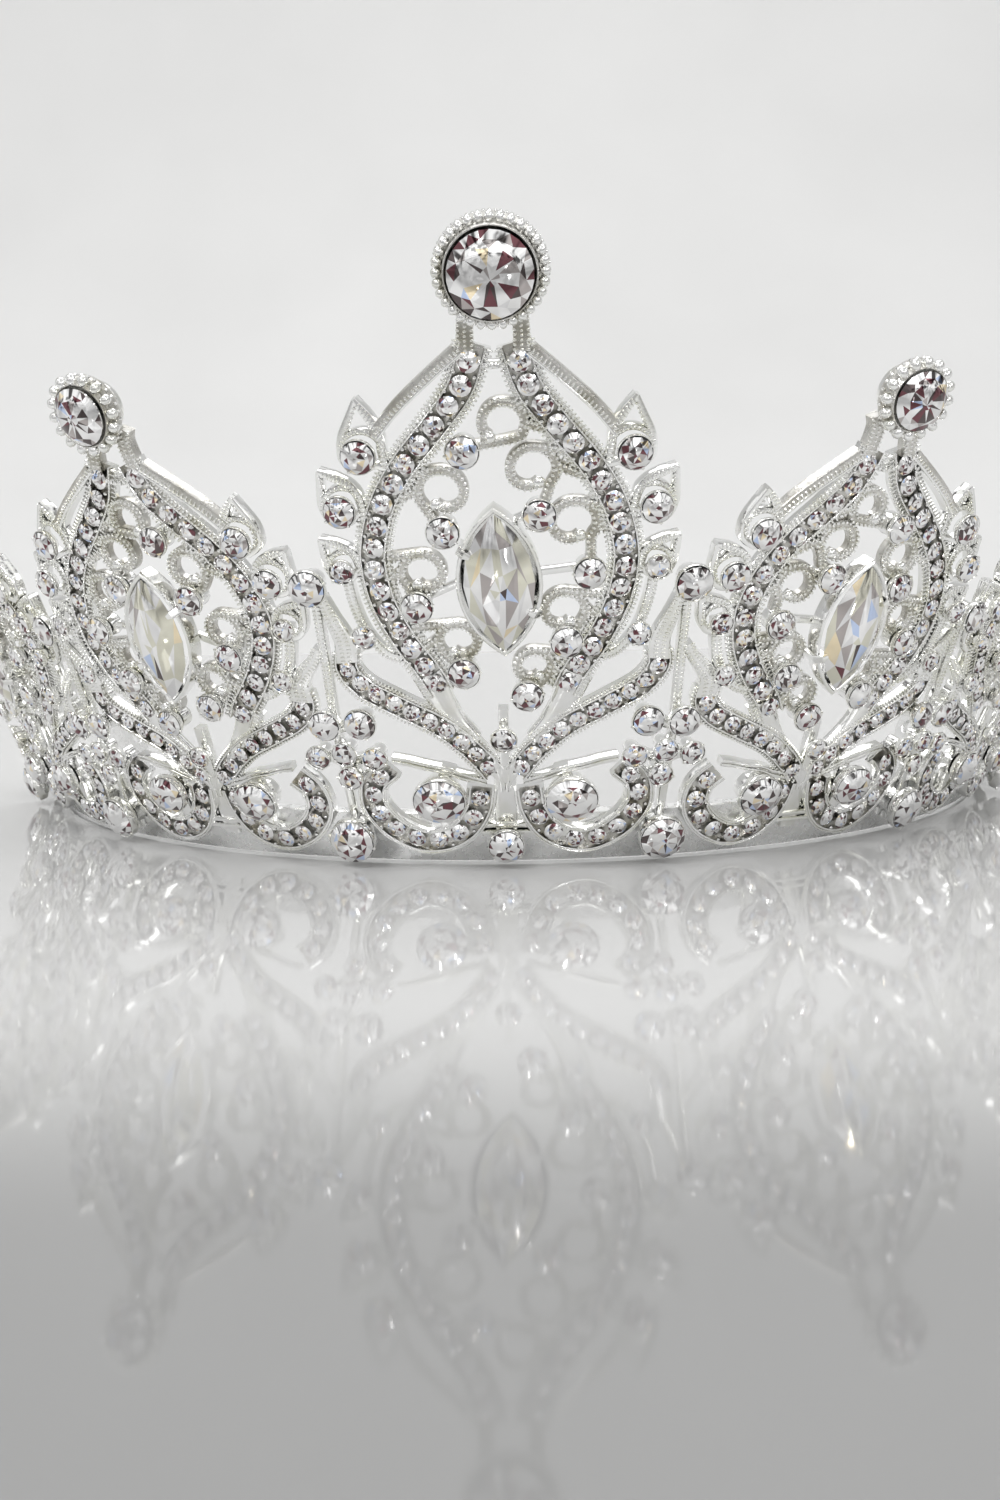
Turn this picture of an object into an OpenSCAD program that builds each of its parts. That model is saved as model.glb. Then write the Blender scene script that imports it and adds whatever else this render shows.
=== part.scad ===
// Bridal tiara: five openwork rhinestone panels on a curved head band.
// Millimetres. +Z is up, the wearer looks along -Y, the origin is on the plane the tiara rests
// on, under the middle of the crown's length and width.
// A panel is drawn flat, u across and v up its slope, and then laid on a cone that flares
// outwards. w is the distance out from the back of the castings.

/* [Band] */
// Radius of the back of the castings at the resting plane
band_r = 74; // [70:0.5:80]
// How far the crown leans outwards from upright, degrees
flare = 21.6; // [18:0.2:24]
// Angle from one panel to the next, degrees
panel_pitch = 27.8; // [27.8:0.1:30]
// Half of the angle that the head band runs round, degrees
band_half_angle = 108; // [102:1:125]
// Height of the head band
band_h = 7; // [5:0.25:8]
// Thickness of the head band
band_t = 1.1; // [0.8:0.1:1.6]
// Radius of the hole in each end tab
pin_hole_r = 1.25; // [0.8:0.05:1.6]

/* [Castings] */
// Thickness of the plain strips of the castings
cast_t = 1.5; // [1.2:0.1:1.8]
// Half width of a pave channel
channel_half = 1.9; // [1.8:0.05:2]
// Thickness of each rail of a pave channel
rail_t = 0.55; // [0.4:0.05:0.6]
// Height of the floor of a pave channel
floor_t = 0.7; // [0.5:0.05:0.8]
// Width of the wire of vines and leaves
wire_w = 0.9; // [0.7:0.05:1.1]

/* [Crystals] */
// Radius of a pave crystal
pave_r = 1.15; // [1:0.05:1.2]
// Distance from one pave crystal to the next
pave_pitch = 2.55; // [2.5:0.05:3]
// Radius of the finial crystals on the centre panel
finial_r = 4.3; // [4:0.1:4.5]
// Half length of the marquise crystal on the centre panel
marquise_l = 8.1; // [7.6:0.1:8.3]
// Half width of the marquise crystal on the centre panel
marquise_w = 4.0; // [3.6:0.1:4.1]

/* [Hidden] */
gap = 0.04;
// the centre of the band's circle is this far behind the origin
crown_y = 40.6 + (band_r - 74) * 0.66;
half_pitch = panel_pitch / 2;
silver = [0.82, 0.83, 0.84];
crystal_tint = [0.9, 0.93, 0.97];

// angle, across scale, up scale, scroll scale, stone scale, side the vine starts on, finial scale
centre = [0, 1, 1, 1, 1, 1, 1];
left_front = [-panel_pitch, 0.98, 0.82, 0.9, 0.97, -1, 0.76];
right_front = [panel_pitch, 0.98, 0.82, 0.9, 0.97, -1, 0.76];
left_side = [-2 * panel_pitch, 0.93, 0.7, 0.84, 0.86, 1, 0.66];
right_side = [2 * panel_pitch, 0.93, 0.7, 0.84, 0.86, 1, 0.66];

// border number, up scale, scale of the stones
inner_border = [0.5, 1, 1];
outer_border = [1.5, 0.84, 0.95];
end_border = [2.5, 0.72, 0.86];

// ---- where things lie ----

function slope_r(v) = band_r + v * sin(flare);
function turn(a, u, v) = a + u / slope_r(v) * 180 / PI;
function place(a, u, v, w) = let (t = turn(a, u, v), r = slope_r(v) + w * cos(flare))
    [r * sin(t), crown_y - r * cos(t), v * cos(flare) - w * sin(flare)];
function border_u(v) = slope_r(v) * half_pitch * PI / 180;

// ---- smooth lines through a few points ----

function knot(p, i) = p[max(0, min(len(p) - 1, i))];
function spline(a, b, c, d, t) = 0.5 * (2 * b + (c - a) * t
    + (2 * a - 5 * b + 4 * c - d) * t * t + (3 * b - a - 3 * c + d) * t * t * t);
function smooth(p, n) = concat([for (i = [0:len(p) - 2]) for (k = [0:n - 1])
    spline(knot(p, i - 1), p[i], p[i + 1], knot(p, i + 2), k / n)], [p[len(p) - 1]]);
function run(p, i = 0, s = 0) = i >= len(p) ? []
    : concat([s], run(p, i + 1, i + 1 < len(p) ? s + norm(p[i + 1] - p[i]) : s));
function spaced(p, first, step, last) = let (s = run(p), end = s[len(s) - 1],
    n = floor((end - first - last) / step + 0.001), even = (end - first - last) / n,
    us = [for (i = [0:len(p) - 1]) [s[i], p[i][0]]],
    vs = [for (i = [0:len(p) - 1]) [s[i], p[i][1]]])
    [for (i = [0:n]) [lookup(first + i * even, us), lookup(first + i * even, vs)]];
function scaled(p, k) = [for (q = p) [q[0] * k[0], q[1] * k[1]]];
function arc(c, r, from, to, n) = [for (i = [0:n]) let (t = from + (to - from) * i / n)
    c + r * [cos(t), sin(t)]];

// ---- the lines of one panel, right hand side, for the centre panel's size ----

mandorla = [[2.1, 64.8], [3.6, 60.2], [6.4, 56.3], [9.9, 52], [12.5, 47.6], [13.8, 43], [13.9, 39.6],
    [13, 35.5], [10.9, 31], [8.3, 27], [6.9, 24.2]];
arm = [[17.9, 29.4], [17.9, 27.2], [16, 24.8], [11.8, 22.3], [7.2, 19.7], [3.6, 16.4], [1.2, 13.2]];
scroll = [[13.8, 14], [15.7, 12], [16, 9.3], [14.8, 6.9], [12.6, 4.9], [9.6, 3.7], [6.6, 4.3],
    [4.5, 6], [3.2, 8.6], [2.8, 11.2]];
scroll_bar = [[13.4, 15.2], [11.6, 14.9], [9.4, 14.3], [7.2, 13.8], [5.2, 13], [2.2, 12.1]];
shoulder = [[3.9, 64.2], [7.6, 61], [10.8, 58], [13.1, 55.2]];
leaf_tips = [[14.9, 59.2], [19.5, 51.3], [20, 43.4]];
leaf_feet = [[14.5, 53.4], [17, 47.2], [17.3, 40.1]];
leaf_roots = [[11.9, 51.6], [14.6, 45.9], [15.4, 39.2]];
leaf_stone = [1.8, 1.7, 1.3];
gusset = [[7.6, 26], [5.8, 18.8]];
tail = [[17.3, 40.1], [16.7, 36], [15.3, 32], [13.2, 29.4], [11.4, 28.6]];
vine_stones = [[-3.5, 53.7], [4.4, 46.4], [-5.9, 44.6], [9.8, 39.6], [-9.1, 35.7], [7.2, 31.2],
    [-4.2, 27.4], [2.8, 24.4]];
vine_rings = [[0.8, 56.3, 2.3], [3.9, 51.1, 2.5], [-6.1, 48.7, 2.5], [8.3, 44.9, 2.5],
    [-8.6, 39.2, 2.3], [7.2, 34.4, 2.3], [-4.9, 30.7, 2.2], [3.7, 27.4, 2]];
vine_stone = 1.72;
// steps from the border towards the taller panel, up, and the radius of the stone
cluster = [[3.3, 20.75, 1.78], [-1.05, 20.5, 1.78], [0.7, 16.65, 1.38], [-2.6, 16.1, 1.38],
    [4.35, 16.05, 1.38], [1, 13.35, 1.38]];
border_top = 38.2;
border_top_stone = 2.05;
border_foot = [0, 4.75];
border_foot_stone = 2.7;

// ---- swept strips ----

// one cross-section at each point of a line, the sections joined into one closed skin
module sweep(a, p, sec, caps) {
    n = len(p);
    m = len(sec);
    dirs = [for (i = [0:n - 1]) let (
        d0 = i > 0 ? (p[i] - p[i - 1]) / norm(p[i] - p[i - 1]) : [0, 0],
        d1 = i < n - 1 ? (p[i + 1] - p[i]) / norm(p[i + 1] - p[i]) : [0, 0],
        d = d0 + d1) d / norm(d)];
    points = [for (i = [0:n - 1]) for (q = sec)
        place(a, p[i][0] + q[0] * dirs[i][1], p[i][1] - q[0] * dirs[i][0], q[1])];
    sides = [for (i = [0:n - 2]) for (j = [0:m - 1]) let (k = (j + 1) % m)
        each [[i * m + j, i * m + k, (i + 1) * m + j], [i * m + k, (i + 1) * m + k, (i + 1) * m + j]]];
    end = [for (c = caps) [(n - 1) * m + c[0], (n - 1) * m + c[1], (n - 1) * m + c[2]]];
    start = [for (c = caps) [c[0], c[2], c[1]]];
    polyhedron(points, concat(sides, start, end));
}

module channel(a, p, h) {
    r = rail_t;
    sweep(a, p, [[-h, 0], [h, 0], [h, cast_t], [h - r, cast_t], [h - r, floor_t], [r - h, floor_t],
        [r - h, cast_t], [-h, cast_t]],
        [[0, 1, 4], [0, 4, 5], [1, 2, 3], [1, 3, 4], [0, 5, 6], [0, 6, 7]]);
}

// a ridged wire, flat at the back
module wire(a, p, width, high) {
    h = width * 0.62;
    low = 0.35 - high / 8;
    sweep(a, p, [[-h, low], [h, low], [0, high]], [[0, 1, 2]]);
}

// ---- settings ----

module stand(a, q, w = 0) {
    translate(place(a, q[0], q[1], w))
        rotate([0, 0, turn(a, q[0], q[1])])
            rotate([90 + flare, 0, 0])
                children();
}

// a small pad on a casting, which a cup is soldered to
module pad(a, q, r) {
    stand(a, q)
        hull()
            cylinder(r = r, h = cast_t, $fn = 6);
}

module cup(a, q, r) {
    stand(a, q, cast_t + gap)
        cup_shape(r);
}

module cup_shape(r) {
    high = max(1.35, r * 0.65 + 0.2);
    rotate_extrude()
        polygon([[0, 0], [r * 0.6, 0], [r + 0.22, 0.9], [r + 0.22, high], [r + 0.06, high],
            [r + 0.06, 0.8], [r * 0.5, 0.3], [0, 0.3]]);
}

module crystal(a, q, r, base) {
    stand(a, q, base + gap)
        crystal_shape(r);
}

module crystal_shape(r) {
    rotate_extrude()
        polygon([[0, 0], [r * 0.35, 0], [r, r * 0.55], [r, r * 0.68], [r * 0.62, r * 0.98],
            [0, r * 0.98]]);
}

cup_floor = cast_t + gap + 0.3;

// ---- where a panel's stones sit ----

function size_up(k) = [k[1], k[2]];
function size_arm(k) = [k[3], k[2]];
function size_foot(k) = [k[3], k[3]];
function vine(k) = scaled(vine_stones, [k[1] * k[5], k[2]]);
function oval_at(k, side) = [7.6 * k[3] * side, 10.7 * k[3]];
function leaf_at(k, side, i) = [leaf_feet[i][0] * k[1] * side, leaf_feet[i][1] * k[2]];
function tail_at(k, side) = [15.3 * k[1] * side, 32 * k[2]];
function heart_at(k) = [0, 18.6 * k[2]];
function marquise_at(k) = [0, 38.7 * k[2]];
function finial_at(k) = [0, 72.7 * k[2]];
oval_r = 2.75;
oval_squash = 1.1;
heart_r = 1.4;
foot_stone = [0, 4];
foot_stone_r = 2.05;
tail_r = 1.28;
function rim_u(k, v) = lookup(v, [for (i = [len(mandorla) - 1:-1:0]) [mandorla[i][1] * k[2],
    mandorla[i][0] * k[1]]]);

// ---- the casting of one panel ----

// an open pointed leaf drawn as one wire: in from the channel, round the leaf and back to its foot
module leaf(k, side, i) {
    s = [k[1] * side, k[2]];
    foot = leaf_at(k, side, i);
    tip = scaled(leaf_tips, s)[i];
    root = scaled(leaf_roots, s)[i];
    d = tip - foot;
    out = [d[1], -d[0]] / norm(d) * 1.9 * side;
    wire(k[0], [root, foot - out * 0.2, foot + out * 0.8 + d * 0.16, foot + d * 0.58 + out * 0.95, tip,
        foot + d * 0.58 - out * 0.95, foot - out * 0.8 + d * 0.16, foot], wire_w, cast_t - 0.04 * i);
}

// a vine scroll drawn as one wire: from the channel over a ring to the stone below it
module scroll_ring(k, i) {
    g = vine_rings[i];
    c = [g[0] * k[1] * k[5], g[1] * k[2]];
    r = g[2] * (k[1] + k[2]) / 2;
    q = vine(k)[i];
    away = sign(c[0]);
    ring = [for (p = arc([0, 0], r, -30, 240, 6)) c + [away * p[0], p[1]]];
    rim = [away * (rim_u(k, c[1] - r) - channel_half + 0.3), c[1] - r * 0.9];
    wire(k[0], concat([rim], ring, [q]), wire_w, cast_t - 0.1);
}

module neck(k) {
    f = finial_at(k);
    top = mandorla[0][1] * k[2];
    for (side = [-1, 1])
        wire(k[0], [[2.4 * side, top - 0.3], [1.6 * side, f[1]]], 1.5, cast_t - 0.05);
    wire(k[0], [[-1.9, top - 1.2], [1.9, top - 1.2]], 1.1, cast_t - 0.2);
    stand(k[0], f)
        hull() {
            cylinder(r = 3.4 * k[6], h = 0.1, $fn = 10);
            translate([0, 0, cast_t - 0.1])
                cylinder(r = 3.6 * k[6], h = 0.1, $fn = 10);
        }
}

// struts that the marquise bezel is soldered on
module marquise_struts(k) {
    c = marquise_at(k);
    v = vine(k);
    h = floor_t + 0.1;
    tilt = k[5];
    wire(k[0], [v[3], c + [tilt * 3.9, 0.2]], 1.2, h);
    wire(k[0], [v[4], c + [tilt * -3.9, -0.6]], 1.2, h);
    wire(k[0], [v[1], c + [tilt * 1.2, 6.2 * k[4]]], 1.2, h);
    wire(k[0], [v[6], c + [tilt * -1.4, -6 * k[4]]], 1.2, h);
}

// the joint of the V, and the link across the feet of the two scrolls
module foot_link(k) {
    a = k[0];
    joint = arm[6][1] * k[2];
    wire(a, [[0, joint + 1.4], [0, joint - 1.4]], 1.8, cast_t - 0.1);
    wire(a, [heart_at(k) + [0, 1], [0, joint + 1]], 1.5, cast_t - 0.2);
    wire(a, [[-3.1 * k[3], 5.4], [3.1 * k[3], 5.4]], 1.3, cast_t - 0.15);
    if (a == 0)
        wire(a, [[0, 5.5], [0, 1.6]], 1.6, cast_t - 0.2);
}

module frame(k) {
    a = k[0];
    top = border_u(29 * k[2]) - 0.66;
    color(silver)
        union() {
            for (side = [-1, 1]) {
                s = [side, 1];
                end = scaled([arm[0]], size_arm(k))[0];
                oval = oval_at(k, side);
                channel(a, scaled(scaled(mandorla, size_up(k)), s), channel_half);
                channel(a, scaled(scaled(arm, size_arm(k)), s), channel_half - 0.3);
                channel(a, scaled(scaled(scroll, size_foot(k)), s), channel_half - 0.1);
                wire(a, scaled(scaled(scroll_bar, size_foot(k)), s), 0.9, cast_t - 0.05);
                wire(a, scaled(scaled(shoulder, size_up(k)), s), 1, cast_t - 0.1);
                wire(a, scaled([end - [0, 1], end + [0.2, 1], [top, end[1] + 4.4]], s), 1.2, cast_t - 0.2);
                wire(a, scaled(scaled(gusset, size_up(k)), s), 2.8, floor_t - 0.05);
                for (i = [0:2])
                    leaf(k, side, i);
                wire(a, scaled(scaled(tail, size_up(k)), s), wire_w, cast_t - 0.15);
                wire(a, [oval - [side, 6.2 * k[3]], oval, [oval[0] - side, 14.2 * k[3]]], 1.6, cast_t - 0.25);
            }
            neck(k);
            foot_link(k);
            marquise_struts(k);
            for (q = vine(k))
                pad(a, q, 1.1 * k[4]);
            for (i = [0:7])
                scroll_ring(k, i);
        }
}

// ---- the cups of one panel ----

module settings(k) {
    a = k[0];
    color(silver) {
        for (q = vine(k))
            cup(a, q, vine_stone * k[4]);
        for (side = [-1, 1]) {
            cup(a, tail_at(k, side), tail_r * k[4]);
            for (i = [0:2])
                cup(a, leaf_at(k, side, i), leaf_stone[i] * k[4]);
            stand(a, oval_at(k, side), cast_t + gap)
                scale([oval_squash, 1, 1])
                    cup_shape(oval_r * k[3]);
        }
        cup(a, heart_at(k), heart_r * k[3]);
        if (a == 0)
            cup(a, foot_stone, foot_stone_r);
    }
}

// ---- the finial ----

module finial_cup(k) {
    f = k[6];
    color(silver)
        stand(k[0], finial_at(k), cast_t + gap)
            rotate_extrude()
                polygon([[0, 0], [4.9 * f, 0], [5.6 * f, 0.5], [5.8 * f, 1.2], [5.6 * f, 1.9],
                    [5.1 * f, 1.9], [4.95 * f, 3.2 * f], [4.6 * f, 3.2 * f], [4.6 * f, 1.5 * f],
                    [3 * f, 0.7 * f], [0, 0.7 * f]]);
}

module finial_crystal(k) {
    r = finial_r * k[6];
    color(crystal_tint)
        stand(k[0], finial_at(k), cast_t + 2 * gap + 0.7 * k[6])
            rotate_extrude()
                polygon([[0, 0], [r * 0.35, 0], [r, r * 0.55], [r, r * 0.66], [r * 0.6, r * 0.95],
                    [0, r * 0.95]]);
}

// ---- the marquise ----

module marquise_bezel(k) {
    l = (marquise_l + 0.85) * k[4];
    w = (marquise_w + 0.7) * k[4];
    color(silver)
        stand(k[0], marquise_at(k), floor_t + 0.1 + gap)
            rotate([0, 0, 3 * k[5]])
                difference() {
                    lens(l, w, 0, 2.4);
                    lens(l - 0.75, w - 0.6, 0.9, 3);
                    lens(l - 2.4, w - 1.4, -1, 3);
                }
}

// a pointed oval plate, half length l and half width w: two round discs crossed
module lens(l, w, low, high) {
    r = (l * l + w * w) / (2 * w);
    translate([0, 0, low])
        intersection() {
            translate([r - w, 0, 0])
                cylinder(r = r, h = high - low);
            translate([w - r, 0, 0])
                cylinder(r = r, h = high - low);
        }
}

module marquise_crystal(k) {
    l = marquise_l * k[4];
    w = marquise_w * k[4];
    r = (l * l + w * w) / (2 * w);
    color(crystal_tint)
        stand(k[0], marquise_at(k), floor_t + 1 + 2 * gap)
            rotate([0, 0, 3 * k[5]])
                intersection() {
                    translate([r - w, 0, 0])
                        bevelled(r);
                    translate([w - r, 0, 0])
                        bevelled(r);
                }
}

module bevelled(r) {
    rotate_extrude()
        polygon([[0, 0], [r - 1.3, 0], [r, 1.1], [r, 1.4], [r - 1.6, 2.6], [0, 2.6]]);
}

// ---- the other crystals of a panel ----

module pave_crystals(k) {
    rim = scaled(mandorla, size_up(k));
    v = scaled(arm, size_arm(k));
    color(crystal_tint)
        for (side = [-1, 1]) {
            for (q = spaced(rim, 1.9, pave_pitch, 1.4))
                crystal(k[0], [q[0] * side, q[1]], pave_r, floor_t);
            for (q = spaced(v, 2.2, pave_pitch - 0.3, 1.2))
                crystal(k[0], [q[0] * side, q[1]], pave_r - 0.1, floor_t);
        }
}

module accent_crystals(k) {
    color(crystal_tint) {
        for (q = vine(k))
            crystal(k[0], q, vine_stone * k[4], cup_floor);
        for (side = [-1, 1]) {
            crystal(k[0], tail_at(k, side), tail_r * k[4], cup_floor);
            for (i = [0:2])
                crystal(k[0], leaf_at(k, side, i), leaf_stone[i] * k[4], cup_floor);
        }
        crystal(k[0], heart_at(k), heart_r * k[3], cup_floor);
    }
}

module base_crystals(k) {
    line = scaled(scroll, size_foot(k));
    color(crystal_tint) {
        for (side = [-1, 1]) {
            for (q = spaced(line, 1.6, pave_pitch, 1.3))
                crystal(k[0], [q[0] * side, q[1]], pave_r, floor_t);
            stand(k[0], oval_at(k, side), cup_floor + gap)
                scale([oval_squash, 1, 1])
                    crystal_shape(oval_r * k[3]);
        }
        if (k[0] == 0)
            crystal(k[0], foot_stone, foot_stone_r, cup_floor);
    }
}

// ---- between the panels ----

function border_turn(b, side) = side * b[0] * panel_pitch;
// towards the middle of the crown is towards the taller panel
function border_q(b, side, q) = [-side * q[0], q[1] - cluster[5][1] * (1 - b[1])];

module junction(b, side) {
    a = border_turn(b, side);
    top = [0, border_top * b[1]];
    color(silver)
        union() {
            wire(a, [[0, 2], [0, 12 * b[1]], [0, 20 * b[1]], [0, 29 * b[1]], top], 0.8, cast_t - 0.2);
            for (i = [0, 1, 3, 4])
                wire(a, [border_q(b, side, cluster[i]), border_q(b, side, [0, cluster[i][1] - 1])],
                    1.2, cast_t - 0.3);
            for (i = [0, 4])
                pad(a, border_q(b, side, cluster[i]), 0.8);
            pad(a, top, 1.2);
            pad(a, border_foot, 1.6);
        }
}

// the cups of the junctions, and the one on the curl of each end
module junction_settings() {
    color(silver)
        for (side = [-1, 1])
            for (b = [inner_border, outer_border, end_border]) {
                for (q = cluster)
                    cup(border_turn(b, side), border_q(b, side, q), q[2] * b[2]);
                cup(border_turn(b, side), [0, border_top * b[1]], border_top_stone * b[2]);
                cup(border_turn(b, side), border_foot, border_foot_stone);
                if (b == end_border)
                    cup(border_turn(b, side), [13 * side, 10.7], 1.4);
            }
}

module junction_crystals() {
    color(crystal_tint)
        for (side = [-1, 1])
            for (b = [inner_border, outer_border, end_border]) {
                for (q = cluster)
                    crystal(border_turn(b, side), border_q(b, side, q), q[2] * b[2], cup_floor);
                crystal(border_turn(b, side), [0, border_top * b[1]], border_top_stone * b[2], cup_floor);
                crystal(border_turn(b, side), border_foot, border_foot_stone, cup_floor);
            }
}

// ---- the tapered ends ----

end_line = [[4.4, 4.2], [7.4, 6.4], [11, 7.4], [14.6, 6.8], [18, 5.4], [21.4, 4.2], [24.8, 3.4], [28, 3]];

end_curl = [[7.4, 6.4], [8.4, 10.4], [11, 13.4], [14, 13.6], [15.6, 11.4], [13, 10.7]];

module end_casting(side) {
    a = side * 2.5 * panel_pitch;
    s = [side, 1];
    color(silver)
        union() {
            channel(a, scaled(end_line, s), channel_half - 0.2);
            wire(a, scaled(end_curl, s), 1.1, cast_t - 0.2);
            wire(a, scaled([[13, 10.7], [12.4, 7.4]], s), 1.1, cast_t - 0.3);
            wire(a, scaled(arc([9.4, 3.4], 1.4, 110, -200, 8), s), wire_w, cast_t - 0.1);
            pad(a, [13 * side, 10.7], 1.1);
        }
}

module end_crystals(side) {
    a = side * 2.5 * panel_pitch;
    color(crystal_tint) {
        for (q = spaced(end_line, 1.3, pave_pitch, 1.3))
            crystal(a, [q[0] * side, q[1]], pave_r - 0.1, floor_t);
        crystal(a, [13 * side, 10.7], 1.4, cup_floor);
    }
}

// ---- the head band ----

module headband() {
    rise = band_h * cos(flare);
    out = band_h * sin(flare);
    r = band_r - gap / cos(flare);
    t = band_t / cos(flare);
    run = band_half_angle - 1.6;
    color(silver)
        difference() {
            translate([0, crown_y, 0])
                rotate([0, 0, -90 - run])
                    rotate_extrude(angle = 2 * run)
                        polygon([[r - t, 0], [r, 0], [r + out, rise], [r + out - t, rise]]);
            for (side = [-1, 1])
                end_tab(side)
                    translate([0, 0, -5])
                        cylinder(r = band_h / 2 + gap, h = 10);
        }
}

// a round pierced tab that is soldered into the hollowed end of the band
module pierced_tab(side) {
    color(silver)
        end_tab(side)
            difference() {
                cylinder(r = band_h / 2, h = band_t);
                translate([0, 0, -5])
                    cylinder(r = pin_hole_r, h = 10);
            }
}

// the middle of an end tab, on the inner face of the band
module end_tab(side) {
    stand(side * band_half_angle, [0, band_h / 2 + 0.05], -gap - band_t)
        children();
}

// ---- the whole crown ----

PANELS = [["centre", centre], ["left_front", left_front], ["right_front", right_front],
    ["left_side", left_side], ["right_side", right_side]];
BORDERS = [["inner", inner_border], ["outer", outer_border], ["end", end_border]];
SIDES = [["left", -1], ["right", 1]];
PANEL_PARTS = ["frame", "finial_cup", "finial_crystal", "marquise_bezel", "marquise_crystal",
    "settings", "pave_crystals", "accent_crystals", "base_crystals"];

headband();
for (s = SIDES)
    pierced_tab(s[1]);
junction_settings();
junction_crystals();
for (p = PANELS) {
    frame(p[1]);
    finial_cup(p[1]);
    finial_crystal(p[1]);
    marquise_bezel(p[1]);
    marquise_crystal(p[1]);
    settings(p[1]);
    pave_crystals(p[1]);
    accent_crystals(p[1]);
    base_crystals(p[1]);
}
for (b = BORDERS)
    for (s = SIDES)
        junction(b[1], s[1]);
for (s = SIDES) {
    end_casting(s[1]);
    end_crystals(s[1]);
}
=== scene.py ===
import math

import bpy
import numpy as np
from mathutils import Matrix, Vector


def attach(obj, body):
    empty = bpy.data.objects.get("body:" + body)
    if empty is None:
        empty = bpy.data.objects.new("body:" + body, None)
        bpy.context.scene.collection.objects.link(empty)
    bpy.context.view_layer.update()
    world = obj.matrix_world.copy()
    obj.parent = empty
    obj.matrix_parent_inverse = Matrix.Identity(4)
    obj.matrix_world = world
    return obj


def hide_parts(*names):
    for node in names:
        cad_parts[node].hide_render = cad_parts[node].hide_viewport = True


# The bridal tiara's look model. Lengths in this script are millimetres, turned into metres when a
# mesh is made. A panel is drawn flat, u across and v up its slope, and laid on the crown's cone;
# w is the distance out from the back of the castings.

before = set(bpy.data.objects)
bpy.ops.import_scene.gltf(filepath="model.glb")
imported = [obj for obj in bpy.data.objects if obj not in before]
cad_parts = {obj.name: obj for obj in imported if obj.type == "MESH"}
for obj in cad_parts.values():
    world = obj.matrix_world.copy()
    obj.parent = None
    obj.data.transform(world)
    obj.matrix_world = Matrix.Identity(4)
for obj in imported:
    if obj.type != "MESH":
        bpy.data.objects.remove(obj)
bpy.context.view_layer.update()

MM = 0.001
BAND_R = 74.0
CROWN_Y = 40.6
FLARE = math.radians(21.6)
PITCH = 27.8
BAND_HALF = 108.0
BAND_H = 7.0
BAND_T = 1.1
GAP = 0.04
CAST = 1.5
FLOOR = 0.7
CUP_BASE = CAST + GAP
CUP_FLOOR = CUP_BASE + 0.3 + GAP

rng = np.random.default_rng(11)

# name, angle, across, up, scroll, stone, side the vine starts on, finial
PANELS = [
    ("centre", 0.0, 1.0, 1.0, 1.0, 1.0, 1, 1.0),
    ("left_front", -PITCH, 0.98, 0.82, 0.9, 0.97, -1, 0.76),
    ("right_front", PITCH, 0.98, 0.82, 0.9, 0.97, -1, 0.76),
    ("left_side", -2 * PITCH, 0.93, 0.7, 0.84, 0.86, 1, 0.66),
    ("right_side", 2 * PITCH, 0.93, 0.7, 0.84, 0.86, 1, 0.66),
]
# name, border number, up, stone
BORDERS = [("inner", 0.5, 1.0, 1.0), ("outer", 1.5, 0.84, 0.95), ("end", 2.5, 0.72, 0.86)]
SIDES = [("left", -1), ("right", 1)]

MANDORLA = [[2.1, 64.8], [3.6, 60.2], [6.4, 56.3], [9.9, 52], [12.5, 47.6], [13.8, 43], [13.9, 39.6],
            [13, 35.5], [10.9, 31], [8.3, 27], [6.9, 24.2]]
ARM = [[17.9, 29.4], [17.9, 27.2], [16, 24.8], [11.8, 22.3], [7.2, 19.7], [3.6, 16.4], [1.2, 13.2]]
SCROLL = [[13.8, 14], [15.7, 12], [16, 9.3], [14.8, 6.9], [12.6, 4.9], [9.6, 3.7], [6.6, 4.3],
          [4.5, 6], [3.2, 8.6], [2.8, 11.2]]
SCROLL_BAR = [[13.4, 15.2], [11.6, 14.9], [9.4, 14.3], [7.2, 13.8], [5.2, 13], [2.2, 12.1]]
SHOULDER = [[3.9, 64.2], [7.6, 61], [10.8, 58], [13.1, 55.2]]
LEAF_TIPS = [[14.9, 59.2], [19.5, 51.3], [20, 43.4]]
LEAF_FEET = [[14.5, 53.4], [17, 47.2], [17.3, 40.1]]
LEAF_ROOTS = [[11.9, 51.6], [14.6, 45.9], [15.4, 39.2]]
LEAF_STONE = [1.8, 1.7, 1.3]
TAIL = [[17.3, 40.1], [16.7, 36], [15.3, 32], [13.2, 29.4], [11.4, 28.6]]
TAIL_STONE = [15.3, 32, 1.28]
VINE_STONES = [[-3.5, 53.7], [4.4, 46.4], [-5.9, 44.6], [9.8, 39.6], [-9.1, 35.7], [7.2, 31.2],
               [-4.2, 27.4], [2.8, 24.4]]
VINE_STONE = 1.72
VINE_RINGS = [[0.8, 56.3, 2.3], [3.9, 51.1, 2.5], [-6.1, 48.7, 2.5], [8.3, 44.9, 2.5],
              [-8.6, 39.2, 2.3], [7.2, 34.4, 2.3], [-4.9, 30.7, 2.2], [3.7, 27.4, 2]]
OVAL = [7.6, 10.7, 2.75]
OVAL_SQUASH = 1.1
HEART = [0, 18.6, 1.4]
FOOT_STONE = [0, 4, 2.05]
MARQUISE_V = 38.7
MARQUISE_L = 8.1
MARQUISE_W = 4.0
FINIAL_V = 72.7
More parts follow.
